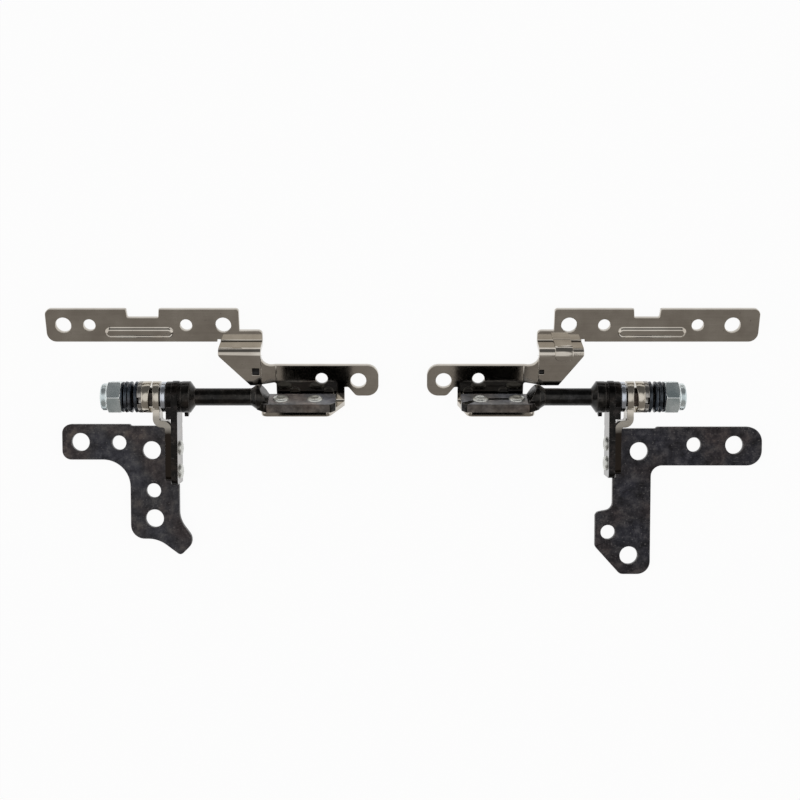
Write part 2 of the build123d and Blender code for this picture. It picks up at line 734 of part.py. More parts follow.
def step(h):
    """Shelf and web that carry the long strip behind the shaft."""
    outer_r = LID_BEND_R + LID_T
    profile = outline([
        (SHOULDER_U, LONG_N, 0),
        (SHELF_U, LONG_N, LID_BEND_R),
        (SHELF_U, WEB_N, outer_r),
        (WEB_LOW_U, WEB_N, 0),
        (WEB_LOW_U, WEB_N - LID_T, 0),
        (SHELF_U - LID_T, WEB_N - LID_T, LID_BEND_R),
        (SHELF_U - LID_T, LONG_BACK_N, outer_r),
        (SHOULDER_U, LONG_BACK_N, 0),
    ])
    face = outline([
        (h["web_in"], WEB_LOW_U, 0),
        (h["web_in"], SHOULDER_U, SHOULDER_R),
        (h["web_out"], SHOULDER_U, 0),
        (h["web_out"], SHELF_U - outer_r, WEB_R),
        (h["web_tip"], WEB_LOW_U, 0),
    ])
    sheet = prism_x(profile, h["web_in"], h["web_out"])
    sheet = sheet & prism_z(face, LONG_BACK_N - LID_T, WEB_N + LID_T)
    mid = LID_T / 2
    for x in h["darts"]:
        raised = outline([
            (SHELF_U - mid, LONG_N, 0),
            (SHELF_U + DART_H, LONG_N, 0),
            (SHELF_U + DART_H, WEB_N + DART_H, outer_r + DART_H),
            (DART_LOW_U, WEB_N + DART_H, 0),
            (DART_LOW_U, WEB_N - mid, 0),
            (SHELF_U - mid, WEB_N - mid, LID_BEND_R + mid),
        ])
        dart = outline([
            (x - DART_W / 2, LONG_TOP_U, 0),
            (x - DART_W / 2, DART_LOW_U, DART_R),
            (x + DART_W / 2, DART_LOW_U, DART_R),
            (x + DART_W / 2, LONG_TOP_U, 0),
        ])
        dart = prism_z(dart, LONG_BACK_N, WEB_N + 2 * DART_H)
        sheet += dart & prism_x(raised, x - DART_W / 2, x + DART_W / 2)
    x, u, width = h["punch"]
    punch = Pos(x, u) * Rectangle(width, width)
    return sheet - prism_z(punch, WEB_N - PUNCH_DEPTH, WEB_N + LID_T)


def short_strip(h):
    """Joggle from the web, inner strip with two holes, and flange under the tongue."""
    outer_r = LID_BEND_R + LID_T
    start = h["web_in"] + LID_T
    end = h["web_in"] - JOGGLE_L
    slope = (WEB_N - SHORT_N) / JOGGLE_L
    shift = LID_T * slope / 2
    profile = outline([
        (start, WEB_N, 0),
        (h["web_in"], WEB_N, JOGGLE_R),
        (end, SHORT_N, JOGGLE_R),
        (h["short_end"], SHORT_N, 0),
        (h["short_end"], SHORT_N - LID_T, 0),
        (end + shift, SHORT_N - LID_T, JOGGLE_R),
        (h["web_in"] + shift, WEB_N - LID_T, JOGGLE_R),
        (start, WEB_N - LID_T, 0),
    ])
    flange_in = h["flange_root"]
    flange_out = h["flare"] - FACET_START - FLANGE_SHORT
    fold = LID_BEND_R - TONGUE_UNDER
    lobe = h["short_end"] + h["lobe_l"]
    face = outline([
        (start, JOGGLE_LOW_U, 0),
        (start, JOGGLE_TOP_U, 0),
        (h["web_in"], JOGGLE_TOP_U, 0),
        (h["web_in"] - JOGGLE_LEAN, SHORT_TOP_U, SHORT_TOP_R),
        (h["short_end"], SHORT_TOP_U, LOBE_R),
        (h["short_end"], LOBE_LOW_U, LOBE_R),
        (lobe, LOBE_LOW_U, LOBE_NECK_R),
        (lobe + LOBE_NECK_L, LOBE_NOTCH_U, LOBE_NECK_R / 2),
        (flange_in, LOBE_NOTCH_U, 0),
        (flange_in, fold, 0),
        (end, fold, 0),
        (end, JOGGLE_LOW_U, JOGGLE_EDGE_R),
    ])
    face -= Pos(h["short_screw"], SHORT_SCREW_U) * Circle(LID_SCREW_D / 2)
    face -= Pos(h["short_pin"], SHORT_PIN_U) * Circle(LID_PIN_D / 2)
    strip = prism_y(profile, -TONGUE_UNDER, JOGGLE_TOP_U)
    strip = strip & prism_z(face, SHORT_N - 2 * LID_T, WEB_N + LID_T)
    bend = outline([
        (fold, SHORT_N, 0),
        (-TONGUE_UNDER, SHORT_N, LID_BEND_R),
        (-TONGUE_UNDER, SHORT_N + LID_BEND_R, 0),
        (-TONGUE_UNDER - LID_T, SHORT_N + LID_BEND_R, 0),
        (-TONGUE_UNDER - LID_T, SHORT_N - LID_T, outer_r),
        (fold, SHORT_N - LID_T, 0),
    ])
    strip += prism_x(bend, flange_in, end)
    flange = outline([
        (flange_in, SHORT_N + LID_BEND_R, 0),
        (h["flange_end"], FLANGE_END_N, FLANGE_CORNER_R),
        (flange_out, FLANGE_END_N, FLANGE_CORNER_R),
        (flange_out, SHORT_N + LID_BEND_R, LID_BEND_R),
    ])
    strip += prism_y(flange, -TONGUE_UNDER - LID_T, -TONGUE_UNDER)
    for x in h["dimples"]:
        dimple = Pos(x, TONGUE_TOP + DIMPLE_OVER) * Circle(DIMPLE_D / 2)
        strip += prism_z(dimple, SHORT_N - DIMPLE_H, SHORT_N + DIMPLE_H)
    for x in h["tongue_rivets"]:
        hole = Rot(90, 0, 0) * Cylinder(TONGUE_RIVET_D / 2 + FIT, 4 * TONGUE_UNDER)
        strip -= Pos(x, -TONGUE_UNDER, TONGUE_SHIFT) * hole
    return strip


def display_bracket(h):
    """One stamping from the long strip to the flange."""
    return long_strip(h) + step(h) + short_strip(h)


def tongue_rivets(h):
    """Two rivets through tongue and flange."""
    one = rivet(
        TONGUE_T + LID_T,
        TONGUE_RIVET_D,
        TONGUE_RIVET_HEAD_D,
        TONGUE_RIVET_HEAD_H,
        TONGUE_RIVET_TAIL_D,
        TONGUE_RIVET_TAIL_H,
    )
    one = Rot(0, 0, -90) * one
    return Compound([Pos(x, TONGUE_TOP, TONGUE_SHIFT) * one for x in h["tongue_rivets"]])


STANDING = {
    "base_bracket": base_bracket,
    "cam_bracket": cam_bracket,
    "ear_rivets": ear_rivets,
    "friction_plate": friction_plate,
}
TURNING = {
    "display_bracket": display_bracket,
    "shaft": shaft,
    "tongue_rivets": tongue_rivets,
    "stop_washer": stop_washer,
    "thrust_washer": thrust_washer,
    "turning_cam": turning_cam,
    "key_washer": key_washer,
    "disc_springs": disc_springs,
    "end_washer": end_washer,
    "lock_nut": lock_nut,
    "nut_insert": nut_insert,
}

# The middle of the pair comes over the origin, with the floor at Z = 0
LONG_EDGE_Y = LONG_TOP_U * cos(radians(OPEN_TILT)) - LONG_BACK_N * sin(radians(OPEN_TILT))
FAR_LEFT = LEFT_EAR_X + LEFT_LONG_OUT_X
FAR_RIGHT = RIGHT_EAR_X + RIGHT_LONG_OUT_X
SHIFT_X = (FAR_LEFT - max(FAR_RIGHT, RIGHT_EAR_X + RIGHT_ARM_END_X)) / 2
SHIFT_Y = -(LONG_EDGE_Y + min(LEFT_LEG_LOW_Y, LEFT_FOOT_TIP[1], RIGHT_LEG_LOW_Y)) / 2


def place(solid, h):
    """Set a piece of one hinge into the frame of the pair."""
    if h["side"] < 0:
        solid = mirror(solid, Plane.YZ)
    return Pos(h["side"] * h["ear_x"] + SHIFT_X, SHIFT_Y, 0) * solid


for hand, h in (("left", LEFT), ("right", RIGHT)):
    for name, make in STANDING.items():
        export_step(place(make(h), h), f"parts/{hand}_{name}.step")
    for name, make in TURNING.items():
        solid = Pos(0, 0, AXIS_H) * Rot(OPEN_TILT, 0, 0) * make(h)
        export_step(place(solid, h), f"parts/{hand}_{name}.step")
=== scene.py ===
# %% [markdown]
# A pair of laptop hinges, seen from above on a white table.
# The shapes come from the CAD model, which is loaded as a fixed frame. Blender adds what the
# eye reads as metal: edges that are rounded over, rivets that were pressed, and finishes that
# were plated, blackened, turned and worn.

# %% Load the frame
import json
from math import cos, hypot, pi, radians, sin

import bmesh
import bpy
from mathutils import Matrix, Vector


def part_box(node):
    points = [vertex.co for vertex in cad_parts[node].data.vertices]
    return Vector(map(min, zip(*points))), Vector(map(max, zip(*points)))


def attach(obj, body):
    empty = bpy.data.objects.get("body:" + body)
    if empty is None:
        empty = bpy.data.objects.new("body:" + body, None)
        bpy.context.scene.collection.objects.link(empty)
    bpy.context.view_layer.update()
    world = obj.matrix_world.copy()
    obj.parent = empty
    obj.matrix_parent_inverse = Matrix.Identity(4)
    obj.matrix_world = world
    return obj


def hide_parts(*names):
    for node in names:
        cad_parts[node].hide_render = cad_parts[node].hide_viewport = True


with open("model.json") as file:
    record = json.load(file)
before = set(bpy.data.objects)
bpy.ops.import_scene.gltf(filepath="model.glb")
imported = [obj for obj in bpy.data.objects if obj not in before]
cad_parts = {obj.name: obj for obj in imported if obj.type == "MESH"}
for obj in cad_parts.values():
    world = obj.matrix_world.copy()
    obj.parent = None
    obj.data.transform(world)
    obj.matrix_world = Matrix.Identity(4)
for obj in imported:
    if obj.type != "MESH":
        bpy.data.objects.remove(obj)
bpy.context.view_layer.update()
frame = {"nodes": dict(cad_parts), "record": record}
MM = 0.001
HANDS = ("left", "right")
OPEN_TILT = radians(19)

# %% [markdown]
# The camera stands straight above the pair, a little towards the display strips, because the
# picture shows the inner faces of both ears and the upper edges of the strips. It is near enough
# for perspective to open up the ears: 200 mm. The lens is worked out from the width of the table
# that the picture takes in, for a square frame.

# %% Camera
CAMERA_AIM = Vector((-0.83, 6.25, 0.0)) * MM
CAMERA_DISTANCE = 200 * MM
CAMERA_LEAN = radians(3.75)
FRAME_WIDTH = 120.9 * MM
SENSOR = 36.0

camera_data = bpy.data.cameras.new("camera")
camera_data.sensor_fit = "HORIZONTAL"
camera_data.sensor_width = SENSOR
camera_data.lens = SENSOR * CAMERA_DISTANCE / FRAME_WIDTH
camera_data.clip_start = 1 * MM
camera = bpy.data.objects.new("camera", camera_data)
bpy.context.collection.objects.link(camera)
camera.rotation_euler = (-CAMERA_LEAN, 0, 0)
reach = Vector((0, sin(CAMERA_LEAN), cos(CAMERA_LEAN))) * CAMERA_DISTANCE
camera.location = CAMERA_AIM + reach
bpy.context.scene.camera = camera
print("camera lens", round(camera_data.lens, 1), "mm")

# %% [markdown]
# Every finish is a small graph of nodes. Two helpers keep the cells short: one turns the hex
# colours of a paint program into the linear numbers that a renderer wants, and one adds a node,
# sets it and links its inputs.

# %% Helpers for finishes
def linear(code):
    """Linear colour of an sRGB hex code such as 6b6259."""
    values = []
    for i in (0, 2, 4):
        c = int(code[i:i + 2], 16) / 255
        values.append(c / 12.92 if c <= 0.04045 else ((c + 0.055) / 1.055) ** 2.4)
    return (*values, 1.0)


def add(tree, kind, inputs=None, **settings):
    """Adds a node with its settings, and fills or links its inputs."""
    node = tree.nodes.new(kind)
    for name, value in settings.items():
        setattr(node, name, value)
    for key, value in (inputs or {}).items():
        if isinstance(value, bpy.types.NodeSocket):
            tree.links.new(value, node.inputs[key])
        else:
            node.inputs[key].default_value = value
    return node


def per(size):
    """Texture scale at which one feature is that many millimetres wide."""
    return 1 / (size * MM)


def shades(node, *stops):
    """Sets a colour ramp to stops of (position, hex colour)."""
    ramp = node.color_ramp
    while len(ramp.elements) < len(stops):
        ramp.elements.new(0.5)
    for element, (position, code) in zip(ramp.elements, stops):
        element.position = position
        element.color = linear(code)


def new_finish(name):
    """Empty material: its node tree, its surface shader and the place of each point."""
    material = bpy.data.materials.new(name)
    material.use_nodes = True
    tree = material.node_tree
    surface = tree.nodes["Principled BSDF"]
    place = add(tree, "ShaderNodeTexCoord").outputs["Object"]
    return material, tree, surface, place


# %% [markdown]
# The floor is a plain white sheet. Round metal is a good judge of light, and the cams in the
# picture say where it came from: a bright soft box right overhead, about 30 degrees to each side,
# a dim room in front, a dimmer one behind, and white paper below. The world is painted like that.
# Two wide lamps low at the sides fill in without showing in the plates.

# %% Floor, world and lamps
FLOOR_HALF = 1.5
FLOOR_DROP = 0.02 * MM
FLOOR_WASH = 0.94

floor_mesh = bpy.data.meshes.new("floor")
corner_signs = ((-1, -1), (1, -1), (1, 1), (-1, 1))
corners = [(x * FLOOR_HALF, y * FLOOR_HALF, -FLOOR_DROP) for x, y in corner_signs]
floor_mesh.from_pydata(corners, [], [(0, 1, 2, 3)])
floor = bpy.data.objects.new("floor", floor_mesh)
bpy.context.collection.objects.link(floor)

material, tree, surface, place = new_finish("white_table")
surface.inputs["Base Color"].default_value = linear("fafafa")
surface.inputs["Roughness"].default_value = 0.9
surface.inputs["Specular IOR Level"].default_value = 0.0
rays = add(tree, "ShaderNodeLightPath")
seen = add(tree, "ShaderNodeMath", {0: rays.outputs["Is Camera Ray"], 1: rays.outputs["Is Glossy Ray"]},
           operation="MAXIMUM")
seen = add(tree, "ShaderNodeMath", {0: seen.outputs[0], 1: rays.outputs["Is Transmission Ray"]},
           operation="MAXIMUM")
wash = add(tree, "ShaderNodeMath", {0: seen.outputs[0], 1: FLOOR_WASH}, operation="MULTIPLY")
glow = add(tree, "ShaderNodeEmission", {"Color": linear("ffffff"), "Strength": 1.0})
both = add(tree, "ShaderNodeMixShader", {0: wash.outputs[0], 1: surface.outputs[0], 2: glow.outputs[0]})
tree.links.new(both.outputs[0], tree.nodes["Material Output"].inputs["Surface"])
floor_mesh.materials.append(material)

world = bpy.data.worlds.new("soft_box_and_room")
world.use_nodes = True
tree = world.node_tree
ray = add(tree, "ShaderNodeTexCoord").outputs["Generated"]
side = add(tree, "ShaderNodeSeparateXYZ", {0: ray})
overhead = add(tree, "ShaderNodeMapRange", {0: side.outputs["Z"], 1: 0.80, 2: 0.94, 3: 0.0, 4: 1.0},
               interpolation_type="SMOOTHSTEP")
front = add(tree, "ShaderNodeMapRange", {0: side.outputs["Y"], 1: -0.6, 2: 0.6, 3: 1.0, 4: 0.0})
room = add(tree, "ShaderNodeMix", {0: front.outputs[0], 6: linear("686868"), 7: linear("908c88")},
           data_type="RGBA")
light = add(tree, "ShaderNodeMix", {0: overhead.outputs[0], 6: room.outputs[2], 7: linear("ffffff")},
            data_type="RGBA")
tree.links.new(light.outputs[2], tree.nodes["Background"].inputs["Color"])
tree.nodes["Background"].inputs["Strength"].default_value = 1.0
bpy.context.scene.world = world
bpy.context.scene.view_settings.view_transform = "Standard"

LAMPS = {
    "left_lamp": ((-1.1, 0.05, 0.60), 1.40, 5.6),
    "right_lamp": ((1.1, 0.05, 0.60), 1.40, 5.6),
}
for name, (spot, width, power) in LAMPS.items():
    lamp_data = bpy.data.lights.new(name, "AREA")
    lamp_data.size = width
    lamp_data.energy = power
    lamp = bpy.data.objects.new(name, lamp_data)
    bpy.context.collection.objects.link(lamp)
    lamp.location = spot
    lamp.rotation_euler = (-Vector(spot)).to_track_quat("-Z", "Y").to_euler()
print("floor, soft box and", len(LAMPS), "lamps")

# %% [markdown]
# Polished sheet shows what it mirrors. The short strips in the picture mirror something black, so
# a black card hangs in front for each of them, out of the picture. To find its place, the camera is
# mirrored in the plane of the strip: seen from there, the card lies right behind the strip.

# %% Black cards for the short strips
AXIS = Vector((0, 6.943, 3.5)) * MM
STRIP_UP = Vector((0, cos(OPEN_TILT), sin(OPEN_TILT)))
STRIP_OUT = Vector((0, -sin(OPEN_TILT), cos(OPEN_TILT)))
SHORT_FRONT = -2.45 * MM
CARD_U = (-1.5, 5.5)
CARD_X = {"left": (-18.4, -8.1), "right": (7.4, 17.2)}
CARD_REACH = 1.16

card_finish, tree, surface, place = new_finish("black_card")
surface.inputs["Base Color"].default_value = linear("060606")
surface.inputs["Roughness"].default_value = 1.0
surface.inputs["Specular IOR Level"].default_value = 0.0
on_strip = AXIS + STRIP_OUT * SHORT_FRONT
eye = camera.location - STRIP_OUT * (2 * (camera.location - on_strip).dot(STRIP_OUT))
for hand, (x0, x1) in CARD_X.items():
    corners = []
    for x, u in ((x0, CARD_U[0]), (x1, CARD_U[0]), (x1, CARD_U[1]), (x0, CARD_U[1])):
        spot = on_strip + Vector((x * MM, 0, 0)) + STRIP_UP * (u * MM)
        corners.append(eye + (spot - eye) * CARD_REACH)
    card_mesh = bpy.data.meshes.new(f"{hand}_card")
    card_mesh.from_pydata(corners, [], [(0, 1, 2, 3)])
    card_mesh.materials.append(card_finish)
    card = bpy.data.objects.new(f"{hand}_card", card_mesh)
    bpy.context.collection.objects.link(card)
    card.visible_camera = False
    card.visible_diffuse = False
    card.visible_shadow = False
    print(card.name, "at", [round(v / MM) for v in corners[0]], "mm")

# %% [markdown]
# The base plates are steel sheet with a black oxide finish. It is a thin grown skin, not paint,
# so it is uneven: grey, brown and bluish clouds a few millimetres wide, with fine light rubs
# where the plate has slid over others, and small bare flecks. The clouds are noise in three sizes,
# the rubs are noise that is stretched along one direction, and the flecks are the peaks of a fine
# noise. The inner faces of the ears get a smoother copy that mirrors the white table, and its
# lighter colour is a painted reflection on top of that mirror.

# %% Black oxide on steel sheet
RUB_TURN = 0.9
RUB_STRETCH = 9


def black_oxide(name, dark, middle, light, rough, bare_share=0.3):
    """Blackened steel: cloudy, half shiny, with fine rubs and bare flecks."""
    material, tree, surface, place = new_finish(name)
    clouds = add(tree, "ShaderNodeTexNoise",
                 {"Vector": place, "Scale": per(1.3), "Detail": 8.0, "Roughness": 0.72})
    base = add(tree, "ShaderNodeValToRGB", {0: clouds.outputs["Fac"]})
    shades(base, (0.36, dark), (0.5, middle), (0.66, light))
    drift = add(tree, "ShaderNodeTexNoise", {"Vector": place, "Scale": per(5.5), "Detail": 2.0})
    tint = add(tree, "ShaderNodeValToRGB", {0: drift.outputs["Fac"]})
    shades(tint, (0.36, "7f8494"), (0.5, "828080"), (0.64, "9c8478"))
    tinted = add(tree, "ShaderNodeMix", {0: 0.55, 6: base.outputs[0], 7: tint.outputs[0]},
                 data_type="RGBA", blend_type="OVERLAY")
    turned_place = add(tree, "ShaderNodeMapping",
                       {"Vector": place, "Rotation": (0, 0, RUB_TURN), "Scale": (1, RUB_STRETCH, 1)})
    lines = add(tree, "ShaderNodeTexNoise",
                {"Vector": turned_place.outputs[0], "Scale": per(2.2), "Detail": 4.0, "Roughness": 0.7})
    rub = add(tree, "ShaderNodeMapRange", {0: lines.outputs["Fac"], 1: 0.64, 2: 0.76, 3: 0.0, 4: 0.5})
    rubbed = add(tree, "ShaderNodeMix", {0: rub.outputs[0], 6: tinted.outputs[2], 7: linear("7b7876")},
                 data_type="RGBA")
    flecks = add(tree, "ShaderNodeTexNoise", {"Vector": place, "Scale": per(0.32), "Detail": 1.0})
    bare = add(tree, "ShaderNodeMapRange",
               {0: flecks.outputs["Fac"], 1: 0.66, 2: 0.74, 3: 0.0, 4: bare_share})
    flecked = add(tree, "ShaderNodeMix", {0: bare.outputs[0], 6: rubbed.outputs[2], 7: linear("8a8683")},
                  data_type="RGBA")
    tree.links.new(flecked.outputs[2], surface.inputs["Base Color"])
    surface.inputs["Metallic"].default_value = 0.85
    gloss = add(tree, "ShaderNodeMapRange",
                {0: clouds.outputs["Fac"], 1: 0.3, 2: 0.7, 3: rough - 0.06, 4: rough + 0.08})
    tree.links.new(gloss.outputs[0], surface.inputs["Roughness"])
    grain = add(tree, "ShaderNodeTexNoise", {"Vector": place, "Scale": per(0.22), "Detail": 3.0})
    relief = add(tree, "ShaderNodeBump",
                 {"Height": grain.outputs["Fac"], "Strength": 0.25, "Distance": 0.02 * MM})
    tree.links.new(relief.outputs[0], surface.inputs["Normal"])
    return material


plate_finish = black_oxide("black_oxide_steel_sheet", "2b2a2c", "424144", "62605e", 0.36)
dark_plate = black_oxide("black_oxide_deep_steel_sheet", "1c1b1d", "353438", "5a5757", 0.36)
friction_finish = black_oxide("black_oxide_friction_steel", "0e0d0c", "1b1917", "3a3430", 0.22, 0.1)
# Painted reflection: the inner ear faces get this much lighter copy of the oxide, so that they read as
# bright as the table they mirror.
ear_painted_reflection = black_oxide("black_oxide_burnished_ear", "5e5c58", "827d78", "a6a099", 0.12, 0.1)
print("made", plate_finish.name, "with", friction_finish.name, "and", ear_painted_reflection.name)

# %% [markdown]
# The cut edges of a pressed sheet are bare for a moment after the press shears them, and they
# rub bright first. They get a lighter finish of their own, which the bevels below are given.

# %% Rubbed edges
def rubbed_edge(name, low, high, metallic):
    """Edge of a pressed sheet where the finish is rubbed thin."""
    material, tree, surface, place = new_finish(name)
    patches = add(tree, "ShaderNodeTexNoise",
                  {"Vector": place, "Scale": per(1.1), "Detail": 5.0, "Roughness": 0.7})
    tone = add(tree, "ShaderNodeValToRGB", {0: patches.outputs["Fac"]})
    shades(tone, (0.38, low), (0.62, high))
    tree.links.new(tone.outputs[0], surface.inputs["Base Color"])
    surface.inputs["Metallic"].default_value = metallic
    surface.inputs["Roughness"].default_value = 0.32
    return material


plate_edge = rubbed_edge("black_oxide_rubbed_edge", "2c2a2b", "5c5855", 0.8)
print("made", plate_edge.name)

# %% [markdown]
# The display brackets and the cams are nickel plated. Nickel is a warm grey metal, here bright
# enough to mirror the black tongue in the short strip. Rolled sheet keeps faint lines along its
# length under the plating, and handling leaves a haze and small dark specks. Oil has crept up the
# cam bracket. On the short strip beside the tongue a band is painted nearly black, a painted dark
# reflection. The washers, rivets and nuts are plated too, in brighter and colder tones.

# %% Nickel plating on steel sheet
def nickel_plate(name, low, high, rough, lines_along, oil_from=None, paints_dark_reflection=False):
    """Plated steel: fine lines, a slight haze, oil where it collects, and a painted dark reflection
    where asked.
    """
    material, tree, surface, place = new_finish(name)
    haze = add(tree, "ShaderNodeTexNoise",
               {"Vector": place, "Scale": per(4.0), "Detail": 6.0, "Roughness": 0.6})
    tone = add(tree, "ShaderNodeValToRGB", {0: haze.outputs["Fac"]})
    shades(tone, (0.34, low), (0.66, high))
    along = add(tree, "ShaderNodeMapping", {"Vector": place, "Scale": lines_along})
    lines = add(tree, "ShaderNodeTexNoise",
                {"Vector": along.outputs[0], "Scale": per(1.6), "Detail": 5.0, "Roughness": 0.75})
    line_shade = add(tree, "ShaderNodeMapRange",
                     {0: lines.outputs["Fac"], 1: 0.3, 2: 0.7, 3: 0.93, 4: 1.05})
    lined = add(tree, "ShaderNodeVectorMath", {0: tone.outputs[0], 1: line_shade.outputs[0]},
                operation="MULTIPLY")
    specks = add(tree, "ShaderNodeTexNoise",
                 {"Vector": place, "Scale": per(0.5), "Detail": 2.0, "Roughness": 0.5})
    dark = add(tree, "ShaderNodeMapRange", {0: specks.outputs["Fac"], 1: 0.70, 2: 0.80, 3: 0.0, 4: 0.5})
    colour = add(tree, "ShaderNodeMix", {0: dark.outputs[0], 6: lined.outputs[0], 7: linear("4a4038")},
                 data_type="RGBA")
    skin = colour.outputs[2]
    if oil_from is not None:
        along_y = add(tree, "ShaderNodeSeparateXYZ", {0: place})
        uneven = add(tree, "ShaderNodeMath",
                     {0: haze.outputs["Fac"], 1: OIL_WAVE * MM, 2: along_y.outputs["Y"]},
                     operation="MULTIPLY_ADD")
        oil_end = (oil_from + OIL_REACH) * MM
        down = add(tree, "ShaderNodeMapRange",
                   {0: uneven.outputs[0], 1: oil_end, 2: oil_from * MM, 3: 0.0, 4: 1.0})
        film = add(tree, "ShaderNodeValToRGB", {0: down.outputs[0]})
        shades(film, (0.0, "000000"), (0.25, "b4b4b4"), (0.65, "c4c4c4"), (1.0, "ffffff"))
        oiled = add(tree, "ShaderNodeMix", {0: film.outputs[0], 6: skin, 7: linear("241f1b")},
                    data_type="RGBA")
        skin = oiled.outputs[2]
    # Painted dark reflection: a band of the short strip beside the tongue is painted nearly black, in
    # place of the dark that the strip mirrors there.
    if paints_dark_reflection:
        up_strip = add(tree, "ShaderNodeVectorMath", {0: place, 1: STRIP_UP}, operation="DOT_PRODUCT")
        height = up_strip.outputs["Value"]
        wavy = add(tree, "ShaderNodeMath", {0: haze.outputs["Fac"], 1: DARK_REFLECTION_WAVE, 2: height},
                   operation="MULTIPLY_ADD")
        below = add(tree, "ShaderNodeMapRange",
                    {0: wavy.outputs[0], 1: DARK_REFLECTION_TOP, 2: DARK_REFLECTION_TOP - DARK_REFLECTION_FADE, 3: 0.0, 4: 0.9})
        above = add(tree, "ShaderNodeMapRange",
                    {0: height, 1: DARK_REFLECTION_LOW - 0.1 * MM, 2: DARK_REFLECTION_LOW, 3: 0.0, 4: 1.0})
        near = add(tree, "ShaderNodeMath", {0: below.outputs[0], 1: above.outputs[0]},
                   operation="MULTIPLY")
        across = add(tree, "ShaderNodeSeparateXYZ", {0: place})
        out = add(tree, "ShaderNodeMath", {0: across.outputs["X"], 1: PAIR_MIDDLE}, operation="SUBTRACT")
        out = add(tree, "ShaderNodeMath", {0: out.outputs[0]}, operation="ABSOLUTE")
        beside = add(tree, "ShaderNodeMapRange",
                     {0: out.outputs[0], 1: DARK_REFLECTION_X[0], 2: DARK_REFLECTION_X[1], 3: 0.0, 4: 1.0})
        dark_reflection_mask = add(tree, "ShaderNodeMath", {0: near.outputs[0], 1: beside.outputs[0]},
                    operation="MULTIPLY")
        # 0d0c0b is the colour of the painted dark reflection.
        dark_reflection_painted = add(tree, "ShaderNodeMix", {0: dark_reflection_mask.outputs[0], 6: skin, 7: linear("0d0c0b")},
                      data_type="RGBA")
        skin = dark_reflection_painted.outputs[2]
    tree.links.new(skin, surface.inputs["Base Color"])
    surface.inputs["Metallic"].default_value = 1.0
    gloss = add(tree, "ShaderNodeMapRange",
                {0: haze.outputs["Fac"], 1: 0.3, 2: 0.7, 3: rough - 0.02, 4: rough + 0.04})
    tree.links.new(gloss.outputs[0], surface.inputs["Roughness"])
    relief = add(tree, "ShaderNodeBump",
                 {"Height": lines.outputs["Fac"], "Strength": 0.08, "Distance": 0.02 * MM})
    tree.links.new(relief.outputs[0], surface.inputs["Normal"])
    return material


ROLLED_ALONG_X = (0.12, 6.0, 6.0)
TURNED_ABOUT_X = (9.0, 0.6, 0.6)
EVEN = (1.0, 1.0, 1.0)
OIL_FROM = 2.2
OIL_REACH = 3.2
OIL_WAVE = 1.2
PAIR_MIDDLE = -0.75 * MM
# Where the painted dark reflection lies: its band up the short strip, its soft upper edge, its waviness
# and its distance from the middle of the pair.
DARK_REFLECTION_LOW = AXIS.dot(STRIP_UP) - 0.3 * MM
DARK_REFLECTION_TOP = AXIS.dot(STRIP_UP) + 2.0 * MM
DARK_REFLECTION_FADE = 0.35 * MM
DARK_REFLECTION_WAVE = 0.5 * MM
DARK_REFLECTION_X = (7.9 * MM, 8.5 * MM)
# The display brackets' sheet carries the painted dark reflection on its short strips.
nickel_and_painted_reflection = nickel_plate("nickel_plated_steel_sheet", "b4ada3", "c7c1b7", 0.07, ROLLED_ALONG_X,
                             paints_dark_reflection=True)
cam_finish = nickel_plate("nickel_plated_turned_steel", "bdb6a9", "d0cabf", 0.15, TURNED_ABOUT_X)
leg_finish = nickel_plate("nickel_plated_oiled_steel", "b5aea2", "cbc5ba", 0.18, ROLLED_ALONG_X,
                          oil_from=OIL_FROM)
dark_nickel = nickel_plate("nickel_plated_dark_steel", "8d8a86", "a8a5a0", 0.20, TURNED_ABOUT_X)
bright_finish = nickel_plate("polished_washer_steel", "b4bac4", "d2d7df", 0.20, TURNED_ABOUT_X)
rivet_finish = nickel_plate("pressed_rivet_steel", "c4c4c0", "dedfd9", 0.28, EVEN)
rivet_finish.node_tree.nodes["Principled BSDF"].inputs["Metallic"].default_value = 0.75
zinc_finish = nickel_plate("zinc_plated_steel", "b2c0c3", "ecf4f5", 0.24, EVEN)
zinc_finish.node_tree.nodes["Principled BSDF"].inputs["Metallic"].default_value = 0.8
zinc_edge = nickel_plate("zinc_plated_rubbed_edge", "e9efef", "f8fbfb", 0.28, EVEN)
print("made eight plated finishes")

# %% [markdown]
# The shaft is turned steel, blackened like the plates but much smoother, so it carries a long
# soft shine. The springs are blued: nearly black, with a cold sheen. Both are the same oxide on a
# smoother metal.

# %% Blackened turned steel and blued springs
shaft_finish = black_oxide("black_oxide_turned_steel", "1b1a19", "2b2a28", "43413e", 0.17, 0.1)
tongue_edge = rubbed_edge("black_oxide_rubbed_tongue", "2a2827", "57534f", 0.9)
# The tongue's flat that looks up the strips gets a much lighter, rougher copy of the oxide: a painted
# highlight for the light that face catches.
tongue_painted_highlight = black_oxide("black_oxide_pressed_tongue", "8c8c8e", "aeaeb0", "cfcdca", 0.42)
tongue_painted_highlight.node_tree.nodes["Principled BSDF"].inputs["Metallic"].default_value = 0.35
tongue_front = black_oxide("black_oxide_sheared_tongue", "524d49", "706a65", "928b84", 0.40)
tongue_front.node_tree.nodes["Principled BSDF"].inputs["Metallic"].default_value = 0.35
# Painted shade: near black for the sunk faces of the punched mark, standing for the shade in that
# recess.
punch_painted_shade = rubbed_edge("dark_grime", "0b0a09", "1d1a17", 0.2)
spring_finish = black_oxide("blued_spring_steel", "363b40", "4b5259", "68717a", 0.26, 0.1)
print("made", shaft_finish.name, "and", spring_finish.name)

# %% [markdown]
# The ring inside the collar of the lock nut is natural nylon: milky, and a little see-through at
# its rim. A short scattering distance is enough for that.

